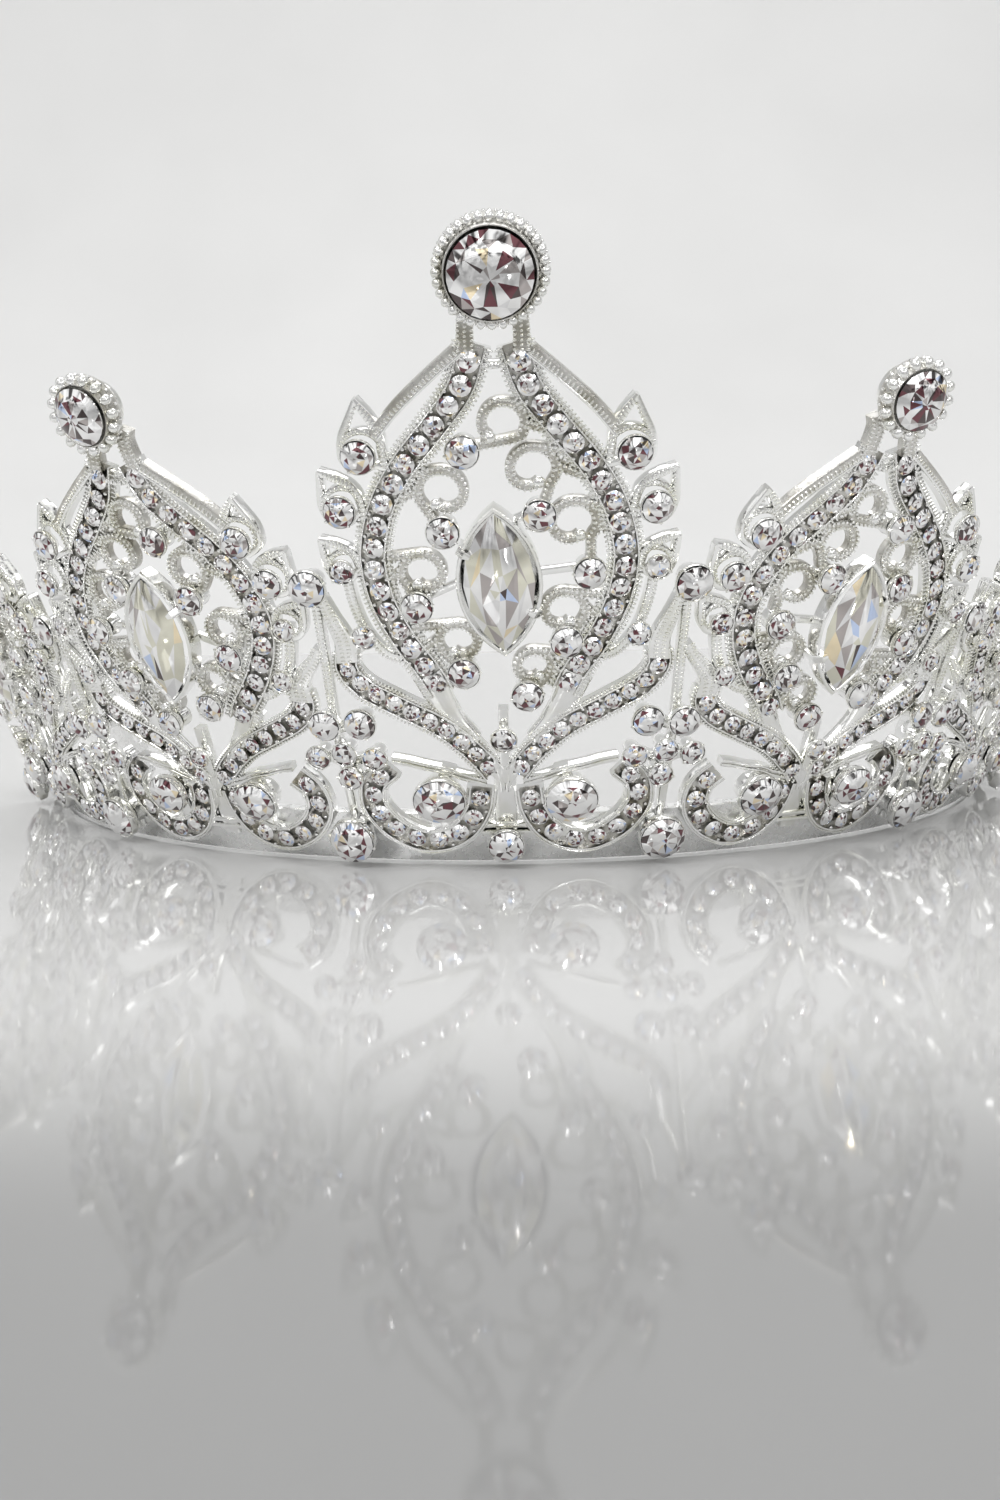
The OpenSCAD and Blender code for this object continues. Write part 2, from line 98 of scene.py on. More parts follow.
# steps from a border towards the taller panel, up, and the radius of the stone
CLUSTER = [[3.3, 20.75, 1.78], [-1.05, 20.5, 1.78], [0.7, 16.65, 1.38], [-2.6, 16.1, 1.38],
           [4.35, 16.05, 1.38], [1, 13.35, 1.38]]
BORDER_TOP = [38.2, 2.05]
BORDER_FOOT = [4.75, 2.7]
END_LINE = [[4.4, 4.2], [7.4, 6.4], [11, 7.4], [14.6, 6.8], [18, 5.4], [21.4, 4.2], [24.8, 3.4],
            [28, 3]]
END_CURL = [[7.4, 6.4], [8.4, 10.4], [11, 13.4], [14, 13.6], [15.6, 11.4], [13, 10.7]]
END_STONE = [13, 10.7, 1.4]
# rows of pave stones: room before the first, step, room after the last
RIM_PAVE = (1.9, 2.55, 1.4)
ARM_PAVE = (2.2, 2.25, 1.2)
SCROLL_PAVE = (1.6, 2.55, 1.3)
END_PAVE = (1.3, 2.55, 1.3)
RIM_STONE = 1.19
SCROLL_STONE = 1.15
SMALL_STONE = 1.05
# how far a stone reaches over its cup, and how far a pave stone may lean, in radians
STONE_LAP = 0.04
PAVE_LEAN = 0.09
MARQUISE_TURN = 3
FINIAL_STONE = 4.4


# ---- the crown's cone ----


def slope_r(v):
    return BAND_R + v * math.sin(FLARE)


def turn(angle, u, v):
    return math.radians(angle) + u / slope_r(v)


def place(angle, u, v, w):
    t = turn(angle, u, v)
    r = slope_r(v) + w * math.cos(FLARE)
    z = v * math.cos(FLARE) - w * math.sin(FLARE)
    return np.stack([r * np.sin(t), CROWN_Y - r * np.cos(t), z + 0 * t], -1)


def axes(angle, u, v):
    """Unit directions across, up the slope and outwards."""
    t = turn(angle, u, v)
    s, c = np.sin(t), np.cos(t)
    sa, ca = math.sin(FLARE), math.cos(FLARE)
    across = np.stack([c, s, 0 * s], -1)
    up = np.stack([s * sa, -c * sa, ca + 0 * s], -1)
    out = np.stack([s * ca, -c * ca, -sa + 0 * s], -1)
    return across, up, out


def border_u(v):
    return slope_r(v) * math.radians(PITCH / 2)


# ---- lines in a panel ----


def smooth_line(points, step=0.3):
    """A smooth line through a few points, sampled at equal steps."""
    p = np.array(points, float)
    if len(p) > 2:
        ext = np.vstack([2 * p[0] - p[1], p, 2 * p[-1] - p[-2]])
        t = np.linspace(0, 1, 24, endpoint=False)[:, None]
        parts = []
        for a, b, c, d in zip(ext, ext[1:], ext[2:], ext[3:]):
            parts.append(0.5 * (2 * b + (c - a) * t + (2 * a - 5 * b + 4 * c - d) * t ** 2
                                + (3 * b - a - 3 * c + d) * t ** 3))
        p = np.vstack(parts + [p[-1:]])
    return resample(p, step)


def lengths(p):
    return np.concatenate([[0], np.cumsum(np.linalg.norm(np.diff(p, axis=0), axis=1))])


def pick(p, s, at):
    """The values at some lengths along a line, from those at its points."""
    return np.stack([np.interp(at, s, p[:, 0]), np.interp(at, s, p[:, 1])], -1)


def resample(p, step):
    s = lengths(p)
    n = max(2, int(round(s[-1] / step)) + 1)
    return pick(p, s, np.linspace(0, s[-1], n))


def sideways(d):
    return np.stack([d[:, 1], -d[:, 0]], -1)


def directions(p):
    d = np.gradient(p, axis=0)
    return d / np.linalg.norm(d, axis=1)[:, None]


def spaced(points, first, step, last):
    """The stones' places along a line, as the solids have them."""
    p = np.array(points, float)
    s = lengths(p)
    n = int(math.floor((s[-1] - first - last) / step + 0.001))
    return pick(p, s, first + np.linspace(0, s[-1] - first - last, n + 1))


def along(line, pitch, offset=0.0, first=0.0, last=0.0):
    """Places and directions at an even pitch along a line, moved sideways by an offset."""
    d = directions(line)
    p = line + offset * sideways(d)
    s = lengths(p)
    room = s[-1] - first - last
    n = max(1, int(round(room / pitch)) + 1)
    at = first + np.linspace(0, room, n)
    e = pick(d, s, at)
    return pick(p, s, at), e / np.linalg.norm(e, axis=1)[:, None]


def sized(points, ku, kv):
    return np.array(points, float) * [ku, kv]


def arc(centre, r, start, end, n=28):
    t = np.radians(np.linspace(start, end, n))
    return np.array(centre) + r * np.stack([np.cos(t), np.sin(t)], -1)


# ---- meshes ----


def new_object(name, data):
    obj = bpy.data.objects.new(name, data)
    bpy.context.scene.collection.objects.link(obj)
    return obj


class Shape:
    """Vertices and faces gathered from many small parts, for one piece."""

    def __init__(self):
        self.verts, self.faces, self.mats, self.smooth, self.tint = [], [], [], [], []
        self.count = 0

    def add(self, verts, faces, mat=0, smooth=True, tint=1.0):
        """Add blocks of faces. A list as mat or tint has one entry for each block."""
        verts = np.asarray(verts, float).reshape(-1, 3)
        mats = mat if isinstance(mat, list) else [mat] * len(faces)
        tints = tint if isinstance(tint, list) else [tint] * len(faces)
        for block, one, shade in zip(faces, mats, tints):
            block = np.asarray(block, int)
            n = len(block)
            self.faces.append(block + self.count)
            self.mats.append(np.broadcast_to(np.asarray(one, int), (n,)))
            self.smooth.append(np.full(n, smooth))
            self.tint.append(np.broadcast_to(shade, (n, 3)))
        self.verts.append(verts)
        self.count += len(verts)

    def mesh(self, name, materials, crease=38.0):
        mesh = bpy.data.meshes.new(name)
        verts = np.concatenate(self.verts) * MM
        loops = np.concatenate([f.ravel() for f in self.faces])
        sizes = np.concatenate([np.full(len(f), f.shape[1]) for f in self.faces])
        mesh.vertices.add(len(verts))
        mesh.vertices.foreach_set("co", verts.astype(np.float32).ravel())
        mesh.loops.add(len(loops))
        mesh.loops.foreach_set("vertex_index", loops.astype(np.int32))
        mesh.polygons.add(len(sizes))
        mesh.polygons.foreach_set("loop_start", (np.cumsum(sizes) - sizes).astype(np.int32))
        mesh.polygons.foreach_set("material_index", np.concatenate(self.mats).astype(np.int32))
        mesh.polygons.foreach_set("use_smooth", np.concatenate(self.smooth))
        for m in materials:
            mesh.materials.append(m)
        mesh.update(calc_edges=True)
        shade = mesh.color_attributes.new("tint", "BYTE_COLOR", "CORNER")
        rgb = np.repeat(np.concatenate(self.tint), sizes, axis=0)
        rgba = np.concatenate([rgb, np.ones((len(rgb), 1))], 1)
        shade.data.foreach_set("color", rgba.astype(np.float32).ravel())
        mesh.set_sharp_from_angle(angle=math.radians(crease))
        return mesh

    def piece(self, name, materials, node, crease=38.0):
        obj = new_object(name, self.mesh(name, materials, crease))
        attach(obj, "root")
        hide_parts(node)

    def metal(self, owner, name, node, crease=38.0):
        self.piece(f"{owner}_{name}", METALS, f"{owner}_{node}", crease)

    def stones(self, owner, name, node, slot="small_crystal"):
        self.piece(f"{owner}_{name}", [GLASS, FOIL], f"{owner}_{node}")


def grid(n, m):
    """Where n closed rows of m points start, and each point's place in its row and the next one."""
    j = np.arange(m)[None, :]
    return np.arange(n)[:, None] * m, j, (j + 1) % m


def strip(shape, angle, line, section, mat=0, widths=None, heights=None):
    """A closed cross-section swept along a line. mat is one material or one for each side."""
    p = np.asarray(line, float)
    sec = np.asarray(section, float)
    n, m = len(p), len(sec)
    d = directions(p)
    side = sideways(d)
    wide = np.ones(n) if widths is None else np.asarray(widths)
    high = np.ones(n) if heights is None else np.asarray(heights)
    q = p[:, None, :] + side[:, None, :] * (sec[None, :, 0:1] * wide[:, None, None])
    w = sec[None, :, 1] * high[:, None]
    verts = place(angle, q[..., 0], q[..., 1], w).reshape(-1, 3)
    i, j, k = grid(n - 1, m)
    quads = np.stack([i + j, i + m + j, i + m + k, i + k], -1).reshape(-1, 4)
    mats = np.tile(np.broadcast_to(np.asarray(mat), (m,)), n - 1)
    cap = mat if np.isscalar(mat) else mat[0]
    shape.add(verts, [quads, j, j[:, ::-1] + (n - 1) * m], [mats, cap, cap])


def ball(segments, rings):
    """A unit ball as vertices and faces."""
    verts = [[0, 0, -1]]
    for i in range(1, rings):
        a = -math.pi / 2 + math.pi * i / rings
        for j in range(segments):
            b = 2 * math.pi * j / segments
            verts.append([math.cos(a) * math.cos(b), math.cos(a) * math.sin(b), math.sin(a)])
    verts.append([0, 0, 1])
    last = len(verts) - 1
    tris, quads = [], []
    for j in range(segments):
        k = (j + 1) % segments
        tris.append([0, 1 + k, 1 + j])
        tris.append([last, last - segments + j, last - segments + k])
        for i in range(rings - 2):
            a, b = 1 + i * segments, 1 + (i + 1) * segments
            quads.append([a + j, a + k, b + k, b + j])
    return np.array(verts), [np.array(tris), np.array(quads)]


FINE = ball(6, 4)
ROUND = ball(12, 8)


def scatter(shape, template, angle, places, dirs, w, size, mat=0):
    """Copies of a template along a line: size is along, across and outwards."""
    verts, faces = template
    places = np.atleast_2d(places)
    dirs = np.atleast_2d(dirs)
    u, v = places[:, 0], places[:, 1]
    across, up, out = axes(angle, u, v)
    x = across * dirs[:, :1] + up * dirs[:, 1:]
    y = up * dirs[:, :1] - across * dirs[:, 1:]
    base = place(angle, u, v, w)
    s = np.asarray(size, float)
    pts = (base[:, None] + x[:, None] * (verts[None, :, 0:1] * s[0])
           + y[:, None] * (verts[None, :, 1:2] * s[1]) + out[:, None] * (verts[None, :, 2:3] * s[2]))
    step = (np.arange(len(places)) * len(verts))[:, None, None]
    blocks = [(f[None] + step).reshape(-1, f.shape[1]) for f in faces]
    shape.add(pts.reshape(-1, 3), blocks, mat)


def millegrain(shape, angle, line, offsets, w, pitch=0.6, size=(0.22, 0.36, 0.26), mat=0,
               first=0.2, last=0.2):
    """A row of small beads along a line at each sideways offset."""
    for offset in np.atleast_1d(offsets):
        p, d = along(line, pitch, offset, first, last)
        scatter(shape, FINE, angle, p, d, w, size, mat)


def revolve(profile, n, squash=1.0):
    """A profile of (radius, height) points turned about the axis, as vertices and faces."""
    verts, rows = [], []
    for r, z in profile:
        if r < 1e-6:
            rows.append([len(verts)] * n)
            verts.append([0, 0, z])
        else:
            rows.append(list(range(len(verts), len(verts) + n)))
            for j in range(n):
                t = 2 * math.pi * j / n
                verts.append([r * math.cos(t) * squash, r * math.sin(t), z])
    tris, quads = [], []
    for a, b in zip(rows, rows[1:]):
        for j in range(n):
            k = (j + 1) % n
            if a[j] == a[k] and b[j] == b[k]:
                continue
            if a[j] == a[k]:
                tris.append([a[j], b[k], b[j]])
            elif b[j] == b[k]:
                tris.append([a[j], a[k], b[j]])
            else:
                quads.append([a[j], a[k], b[k], b[j]])
    faces = [np.array(f) for f in (tris, quads) if f]
    return np.array(verts), faces


def stand(shape, template, angle, q, w, mat=0, spin=0.0, tilt=(0.0, 0.0), smooth=True, tint=1.0,
          lift=0.0):
    """One template, in millimetres, standing on the crown's surface at q and height w."""
    verts, faces = template
    u, v = np.array([float(q[0])]), np.array([float(q[1])])
    across, up, out = axes(angle, u, v)
    basis = np.stack([across[0], up[0], out[0]], 1)
    c, s = math.cos(spin), math.sin(spin)
    turned = np.array([[c, -s, 0], [s, c, 0], [0, 0, 1]])
    ax, ay = tilt
    lean = (np.array([[1, 0, 0], [0, math.cos(ax), -math.sin(ax)], [0, math.sin(ax), math.cos(ax)]])
            @ np.array([[math.cos(ay), 0, math.sin(ay)], [0, 1, 0], [-math.sin(ay), 0, math.cos(ay)]]))
    local = verts - [0, 0, lift]
    pts = (local @ lean.T + [0, 0, lift]) @ turned.T @ basis.T + place(angle, u, v, w)[0]
    shape.add(pts, faces, mat, smooth, tint)


def boss(shape, angle, q, low, middle, top, n=16):
    """A round boss of the casting that a cup is soldered on."""
    stand(shape, revolve([(0, 0), (low, 0), (middle, 0.3), (top, CAST), (0, CAST)], n), angle, q, 0, P)


# ---- materials ----


def put(node, **values):
    """Set a node's inputs by name; an underscore stands for a space."""
    for name, value in values.items():
        node.inputs[name.replace("_", " ")].default_value = value


def material(name):
    m = bpy.data.materials.new(name)
    m.use_nodes = True
    nodes = m.node_tree.nodes
    return m, nodes, m.node_tree.links, nodes["Principled BSDF"]


def noise(nodes, links, scale, detail=3.0, coords="Object"):
    where = nodes.new("ShaderNodeTexCoord")
    tex = nodes.new("ShaderNodeTexNoise")
    put(tex, Scale=scale, Detail=detail)
    links.new(where.outputs[coords], tex.inputs["Vector"])
    return tex


def ramp(nodes, links, source, stops):
    r = nodes.new("ShaderNodeValToRGB")
    points = r.color_ramp.elements
    for point, (at, colour) in ((points[0], stops[0]), (points[1], stops[-1])):
        point.position, point.color = at, (*colour, 1)
    for at, colour in stops[1:-1]:
        points.new(at).color = (*colour, 1)
    links.new(source, r.inputs["Fac"])
    return r


def span(nodes, links, source, low, high):
    r = nodes.new("ShaderNodeMapRange")
    put(r, From_Min=0.3, From_Max=0.7, To_Min=low, To_Max=high)
    links.new(source, r.inputs["Value"])
    return r.outputs["Result"]


def silver(name, light, warm, rough, bump, grain=2600.0):
    """Silver plate: cloudy colour, uneven polish and a fine cast grain."""
    m, nodes, links, shader = material(name)
    put(shader, Metallic=1.0)
    clouds = noise(nodes, links, 240.0)
    colour = ramp(nodes, links, clouds.outputs["Fac"], [(0.32, warm), (0.55, light), (0.75, light)])
    links.new(colour.outputs["Color"], shader.inputs["Base Color"])
    smear = noise(nodes, links, 900.0, 4.0)
    links.new(span(nodes, links, smear.outputs["Fac"], *rough), shader.inputs["Roughness"])
    fine = noise(nodes, links, grain, 2.0)
    b = nodes.new("ShaderNodeBump")
    put(b, Strength=bump, Distance=0.00006)
    links.new(fine.outputs["Fac"], b.inputs["Height"])
    links.new(b.outputs["Normal"], shader.inputs["Normal"])
    return m


def multiply(nodes, links, a, b):
    mix = nodes.new("ShaderNodeMix")
    mix.data_type = "RGBA"
    mix.blend_type = "MULTIPLY"
    put(mix, Factor=1.0)
    links.new(a, mix.inputs["A"])
    links.new(b, mix.inputs["B"])
    return mix.outputs["Result"]


def tinted(nodes, links, stops, scale):
    """The facet's painted tint, which stands in for reflected light and shade, over a faint cloud."""
    attr = nodes.new("ShaderNodeAttribute")
    attr.attribute_name = "tint"
    cloud = noise(nodes, links, scale)
    wash = ramp(nodes, links, cloud.outputs["Fac"], stops)
    return multiply(nodes, links, attr.outputs["Color"], wash.outputs["Color"])


def cut_glass(name, gloss):
    """Foil-backed glass: each facet mirrors the room through a painted tint, which stands in for dark and
    coloured reflections and fire, under a clear glassy coat.
    """
    m, nodes, links, shader = material(name)
    put(shader, Metallic=1.0, Coat_Weight=1.0, Coat_Roughness=0.01, Coat_IOR=1.56)
    colour = tinted(nodes, links, [(0.3, (0.93, 0.925, 0.92)), (0.7, (1.0, 1.0, 1.0))], 700.0)
    links.new(colour, shader.inputs["Base Color"])
    smear = noise(nodes, links, 1800.0)
    links.new(span(nodes, links, smear.outputs["Fac"], *gloss), shader.inputs["Roughness"])
    return m


POLISH = silver("silver_polished", (0.96, 0.96, 0.95), (0.86, 0.86, 0.81), (0.05, 0.15), 0.22)
GRAIN = silver("silver_grained", (0.95, 0.95, 0.93), (0.86, 0.86, 0.79), (0.14, 0.3), 0.35, 3400.0)
# darker silver for channel floors and walls and the strips under bead rows: partly tarnish in the hollows,
# partly painted shade where the crevices fall dark
TARNISH_AND_SHADE = silver("silver_tarnish_and_painted_shade", (0.72, 0.71, 0.68), (0.46, 0.44, 0.38), (0.18, 0.4), 0.6, 3000.0)
CUP = silver("silver_cup", (0.93, 0.93, 0.91), (0.8, 0.79, 0.72), (0.08, 0.2), 0.15)
BAND = silver("silver_band", (0.97, 0.97, 0.965), (0.93, 0.93, 0.92), (0.2, 0.36), 0.12, 1800.0)
GLASS = cut_glass("crystal_facets", (0.02, 0.07))
FOIL = cut_glass("crystal_back", (0.05, 0.12))
METALS = [POLISH, GRAIN, TARNISH_AND_SHADE, CUP]
# R is the darker silver: tarnish with painted shade
P, G, R, C = 0, 1, 2, 3


# ---- cross-sections: (across, outwards), anticlockwise ----


def rounded_strip(half, high, low=0.0, r=0.18):
    return [[-half + r / 2, low], [half - r / 2, low], [half, low + r / 2], [half, high - r],
            [half - r * 0.4, high - r * 0.25], [half - r * 1.2, high], [r * 1.2 - half, high],
            [r * 0.4 - half, high - r * 0.25], [-half, high - r], [-half, low + r / 2]]


def rail(shape, angle, line, half, high, low=0.0, r=0.18, mat=P, widths=None, heights=None):
    """A rounded strip laid along a line."""
    strip(shape, angle, line, rounded_strip(half, high, low, r), mat, widths, heights)


def domed_strip(half, high):
    """Flat at the back, with a rounded crest."""
    return [[-half, 0.08], [-half + 0.08, 0], [half - 0.08, 0], [half, 0.08],
            [half, high * 0.62], [half * 0.82, high * 0.84], [half * 0.45, high * 0.97],
            [0, high], [-half * 0.45, high * 0.97], [-half * 0.82, high * 0.84], [-half, high * 0.62]]


def channel_section(h, rail=0.55, step=False):
    """A floor between two rails; step cuts a line along the top of each rail."""
    t, f, r = CAST, FLOOR, rail
    right = [[h, 0.1], [h, t - 0.16], [h - 0.06, t - 0.04], [h - 0.16, t]]
    if step:
        right += [[h - 0.24, t - 0.02], [h - 0.28, t - 0.16], [h - 0.34, t - 0.02]]
    right += [[h - r + 0.12, t], [h - r + 0.03, t - 0.05], [h - r, t - 0.15], [h - r, f + 0.05]]
    back = [[-h + 0.1, 0], [h - 0.1, 0]]
    left = [[-q, w] for q, w in right[::-1]]
    return back + right + left, len(right)


def channel(shape, angle, line, h, rail=0.55, step=False):
    sec, n = channel_section(h, rail, step)
    m = len(sec)
    # the floor and the inner walls get the darker silver R: tarnish with painted shade in the channel
    mats = [P] * m
    mats[1 + n] = R
    mats[n] = R
    mats[n + 2] = R
    strip(shape, angle, line, sec, np.array(mats))


def pave_channel(shape, angle, line, h, inner):
    """A sunk row for stones: a thin wall beside them and a lower ledge outside it."""
    t, f, ledge = CAST, FLOOR, CAST - 0.5
    right = [[h, 0.1], [h, ledge - 0.1], [h - 0.1, ledge], [inner + 0.3, ledge], [inner + 0.26, t - 0.06],
             [inner + 0.2, t], [inner + 0.06, t], [inner, t - 0.08], [inner, f + 0.05]]
    n = len(right)
    sec = [[-h + 0.1, 0], [h - 0.1, 0]] + right + [[-q, w] for q, w in right[::-1]]
    # the floor, the inner walls and a step of the thin wall get the darker silver R: tarnish with painted
    # shade
    mats = [P] * len(sec)
    for i in (n, n + 1, n + 2, 6, 2 * n - 3):
        mats[i] = R
    strip(shape, angle, line, sec, np.array(mats))


# ---- a panel's casting ----


class Panel:
    def __init__(self, row):
        self.name, self.a, self.ku, self.kv, self.ks, self.kc, self.way, self.kf = row

    def scales(self, group):
        return {"up": (self.ku, self.kv), "arm": (self.ks, self.kv), "foot": (self.ks, self.ks)}[group]

    def line(self, points, side=1, group="up", step=0.3):
        k = self.scales(group)
        return smooth_line(sized(points, k[0] * side, k[1]), step)

    def marquise(self):
        return np.array([0, MARQUISE_V * self.kv])

    def finial(self):
        return np.array([0, FINIAL_V * self.kv])

    def vine(self):
        return sized(VINE_STONES, self.ku * self.way, self.kv)

    def rim_u(self, v):
        p = self.line(MANDORLA)
        order = np.argsort(p[:, 1])
        return float(np.interp(v, p[order, 1], p[order, 0]))


def leaf(shape, panel, side, i):
    """An open pointed leaf that hugs its stone: a polished outer rail and a ribbed inner one."""
    k = np.array([panel.ku * side, panel.kv])
    foot, tip, root = (np.array(p[i]) * k for p in (LEAF_FEET, LEAF_TIPS, LEAF_ROOTS))
    d = tip - foot
    half = LEAF_STONE[i] * panel.kc + 0.45
    out = np.array([d[1], -d[0]]) / np.linalg.norm(d) * half * side
    up = d / np.linalg.norm(d)
    outer = smooth_line([foot - up * half * 0.95 + out * 0.2, foot - up * half * 0.5 + out * 0.8, foot + out,
                         foot + d * 0.34 + out * 0.86, foot + d * 0.68 + out * 0.4, tip], 0.25)
    inner = smooth_line([root, foot - out * 1.0, foot + d * 0.3 - out * 0.98, foot + d * 0.62 - out * 0.62,
                         tip + d * 0.02], 0.25)
    low = smooth_line([root, foot - up * half * 0.7 - out * 0.6, foot - up * half * 0.95 + out * 0.2], 0.25)
    collar = foot + arc([0, 0], half + 0.1, 20, 160, 14) @ np.array([[up[1], -up[0]], [up[0], up[1]]])
    top = CAST - 0.03 * i
    for line, wide in ((outer, 0.42), (inner, 0.5), (low, 0.42), (collar, 0.36)):
        n = len(line)
        taper = np.interp(np.arange(n), [0, n * 0.2, n * 0.75, n - 1], [0.9, 1, 1, 0.6])
        rail(shape, panel.a, line, wide, top, r=0.2, widths=taper)
    millegrain(shape, panel.a, inner, 0.0, top - 0.02, 0.5, (0.18, 0.46, 0.26), G, 0.3, 0.8)
    millegrain(shape, panel.a, outer, -side * 0.34, top - 0.06, 0.5, (0.18, 0.26, 0.24), G, 1.8, 0.8)
    millegrain(shape, panel.a, collar, 0.0, top, 0.5, (0.18, 0.3, 0.22), G, 0.2, 0.2)


def ring(shape, panel, i):
    """One scroll of the vine: a beaded C that starts at its stone and curls in to a round end."""
    cu, cv, r = VINE_RINGS[i]
    c = np.array([cu * panel.ku * panel.way, cv * panel.kv])
    r *= (panel.kv + panel.ku) / 2
    away = 1.0 if c[0] >= 0 else -1.0
    flip = np.array([away, 1.0])
    stone = panel.vine()[i]
    last = 226 if i == 0 else 292
    t = np.radians(np.linspace(-42, last, 40))
    curl = r * (1 - 0.5 * np.clip((np.degrees(t) - 200) / 110, 0, 1) ** 1.3)
    loop = c + np.stack([np.cos(t), np.sin(t)], -1) * curl[:, None] * flip
    lead_in = (stone + loop[0]) / 2 + flip * [0.15, -0.1]
    body = smooth_line(np.vstack([stone, lead_in, loop[::3], loop[-1:]]), 0.22)
    rim = np.array([away * (panel.rim_u(c[1] - r * 0.35) - 1.7), c[1] - r * 0.35])
    link = smooth_line([rim, loop[6]], 0.25)
    top_rim = np.array([away * (panel.rim_u(c[1] + r * 0.8) - 1.7), c[1] + r * 0.8])
    branch = smooth_line([top_rim, c + flip * r * [0.45, 0.95], c + flip * r * [0.0, 1.0]], 0.25)
    section = domed_strip(0.56, CAST - 0.16)
    # the vine's strips under the beads are in the darker silver R: tarnish with painted shade between the
    # beads
    for line in (body, link, branch):
        strip(shape, panel.a, line, section, R)
        millegrain(shape, panel.a, line, (-0.34, 0.34), CAST - 0.2, 0.6, (0.24, 0.28, 0.28), G, 0.1, 0.1)
    scatter(shape, ROUND, panel.a, body[-1:], [[1, 0]], CAST - 0.25, (0.72, 0.72, 0.55), P)


def pave_prongs(shape, angle, places, q):
    """Pairs of small prongs between neighbouring stones."""
    middle = (places[1:] + places[:-1]) / 2
    d = places[1:] - places[:-1]
    d /= np.linalg.norm(d, axis=1)[:, None]
    side = sideways(d)
    for s in (-1, 1):
        scatter(shape, FINE, angle, middle + side * q * s, d, CAST - 0.02, (0.27, 0.27, 0.3), P)


def comb(shape, angle, line, q, pitch=0.55, reach=0.42):
    """Short ribs across both edges of a channel, like the teeth of a comb."""
    millegrain(shape, angle, line, (-q, q), CAST - 0.32, pitch, (0.17, reach, 0.3), G)


def casting(panel):
    shape = Shape()
    a = panel.a
    ku, kv, ks = panel.ku, panel.kv, panel.ks
    for side in (-1, 1):
        rim = panel.line(MANDORLA, side)
        pave_channel(shape, a, rim, 1.9, 1.22)
        comb(shape, a, rim, 1.86)
        millegrain(shape, a, rim, (-1.42, 1.42), CAST - 0.02, 0.42, (0.17, 0.11, 0.12), G)
        pave_prongs(shape, a, spaced(sized(MANDORLA, ku * side, kv), *RIM_PAVE), 1.12)

        v_arm = panel.line(ARM, side, "arm")
        pave_channel(shape, a, v_arm, 1.6, 1.1)
        comb(shape, a, v_arm, 1.58, 0.48, 0.26)
        pave_prongs(shape, a, spaced(sized(ARM, ks * side, kv), *ARM_PAVE), 1.0)

        foot = panel.line(SCROLL, side, "foot")
        channel(shape, a, foot, 1.8, 0.6, True)
        pave_prongs(shape, a, spaced(sized(SCROLL, ks * side, ks), *SCROLL_PAVE), 1.15)

        bar = panel.line(SCROLL_BAR, side, "foot")
        for q in (-0.28, 0.28):
            rail(shape, a, bar + [0, q], 0.2, CAST - 0.02, r=0.14)
        rail(shape, a, bar, 0.4, CAST - 0.4)
        shoulder = panel.line(SHOULDER, side)
        # the shoulder rail under its beads is in the darker silver R: tarnish with painted shade
        rail(shape, a, shoulder, 0.66, CAST + 0.05, mat=R)
        millegrain(shape, a, shoulder, 0.16 * side, CAST + 0.06, 0.55, (0.2, 0.42, 0.26), G)
        rail(shape, a, shoulder + [-0.45 * side, -0.3], 0.2, CAST + 0.25, r=0.14)

        end = sized([ARM[0]], ks * side, kv)[0]
        top_v = end[1] + 7.0 * kv
        rise = smooth_line([end - [0, 1.2], end + [0.25 * side, 1.4],
                            [side * (border_u(end[1] + 4) - 1.6), end[1] + 4.2],
                            [side * (border_u(top_v) - 0.8), top_v]], 0.3)
        taper = np.linspace(1.9, 0.72, len(rise))
        rail(shape, a, rise, 0.75, CAST - 0.05, widths=taper)
        millegrain(shape, a, rise, (-0.42, 0.42), CAST - 0.06, 0.5, (0.18, 0.34, 0.2), G)

        plate = smooth_line(sized([[8.6, 26.4], [7.4, 23.4], [5.8, 20.6], [3.4, 17.8]], ku * side, kv), 0.3)
        strip(shape, a, plate, domed_strip(1.9, CAST - 0.2), P, np.linspace(1.0, 0.5, len(plate)))
        for i in range(3):
            leaf(shape, panel, side, i)
        tail = panel.line(TAIL, side, step=0.25)
        rail(shape, a, tail, 0.6, CAST - 0.1, widths=np.linspace(1, 0.75, len(tail)))
        millegrain(shape, a, tail, (-0.3 * side, 0.4 * side), CAST - 0.1, 0.5, (0.18, 0.3, 0.22), G)

        oval = np.array([OVAL[0] * side, OVAL[1]]) * ks
        seat = [[OVAL[0] - 1.0, 4.4], [OVAL[0], OVAL[1]], [OVAL[0] - 1.0, 14.2]]
        rail(shape, a, smooth_line(sized(seat, ks * side, ks)), 0.9, CAST - 0.2)
        boss(shape, a, oval, 2.2 * ks, 2.3 * ks, 2.2 * ks, 28)
        # the point of the V
        for q in (0.0, 1.0):
            leg = smooth_line([[side * (1.1 + 1.3 * q) * ks, (15.4 - 0.9 * q) * kv],
                               [side * 0.45, 12.2 * kv], [side * 0.35, 10.9 * kv]])
            rail(shape, a, leg, 0.3, CAST)

    neck(shape, panel)
    marquise_struts(shape, panel)
    for i in range(8):
        ring(shape, panel, i)
    for q in panel.vine():
        boss(shape, a, q, 1.35, 1.45, 1.3)
    heart = np.array([0, HEART[1] * kv])
    rail(shape, a, smooth_line([heart + [0, 3.4], heart, [0, 12 * kv]], 0.4), 0.6, CAST - 0.1)
    # smooth post behind the foot, with two cross ridges
    rail(shape, a, smooth_line([[0, 12.4 * kv], [0, 8], [0, 3.6 * ks]], 0.4), 1.3 * ks, 0.9)
    for v in (4.9, 5.9):
        rail(shape, a, smooth_line([[-3.0 * ks, v * ks], [3.0 * ks, v * ks]], 0.5), 0.3, CAST - 0.2)
    if a == 0:
        rail(shape, a, smooth_line([[0, 5.5], [0, 1.8]], 0.4), 0.8, CAST - 0.05)
    shape.metal(panel.name, "casting", "frame")


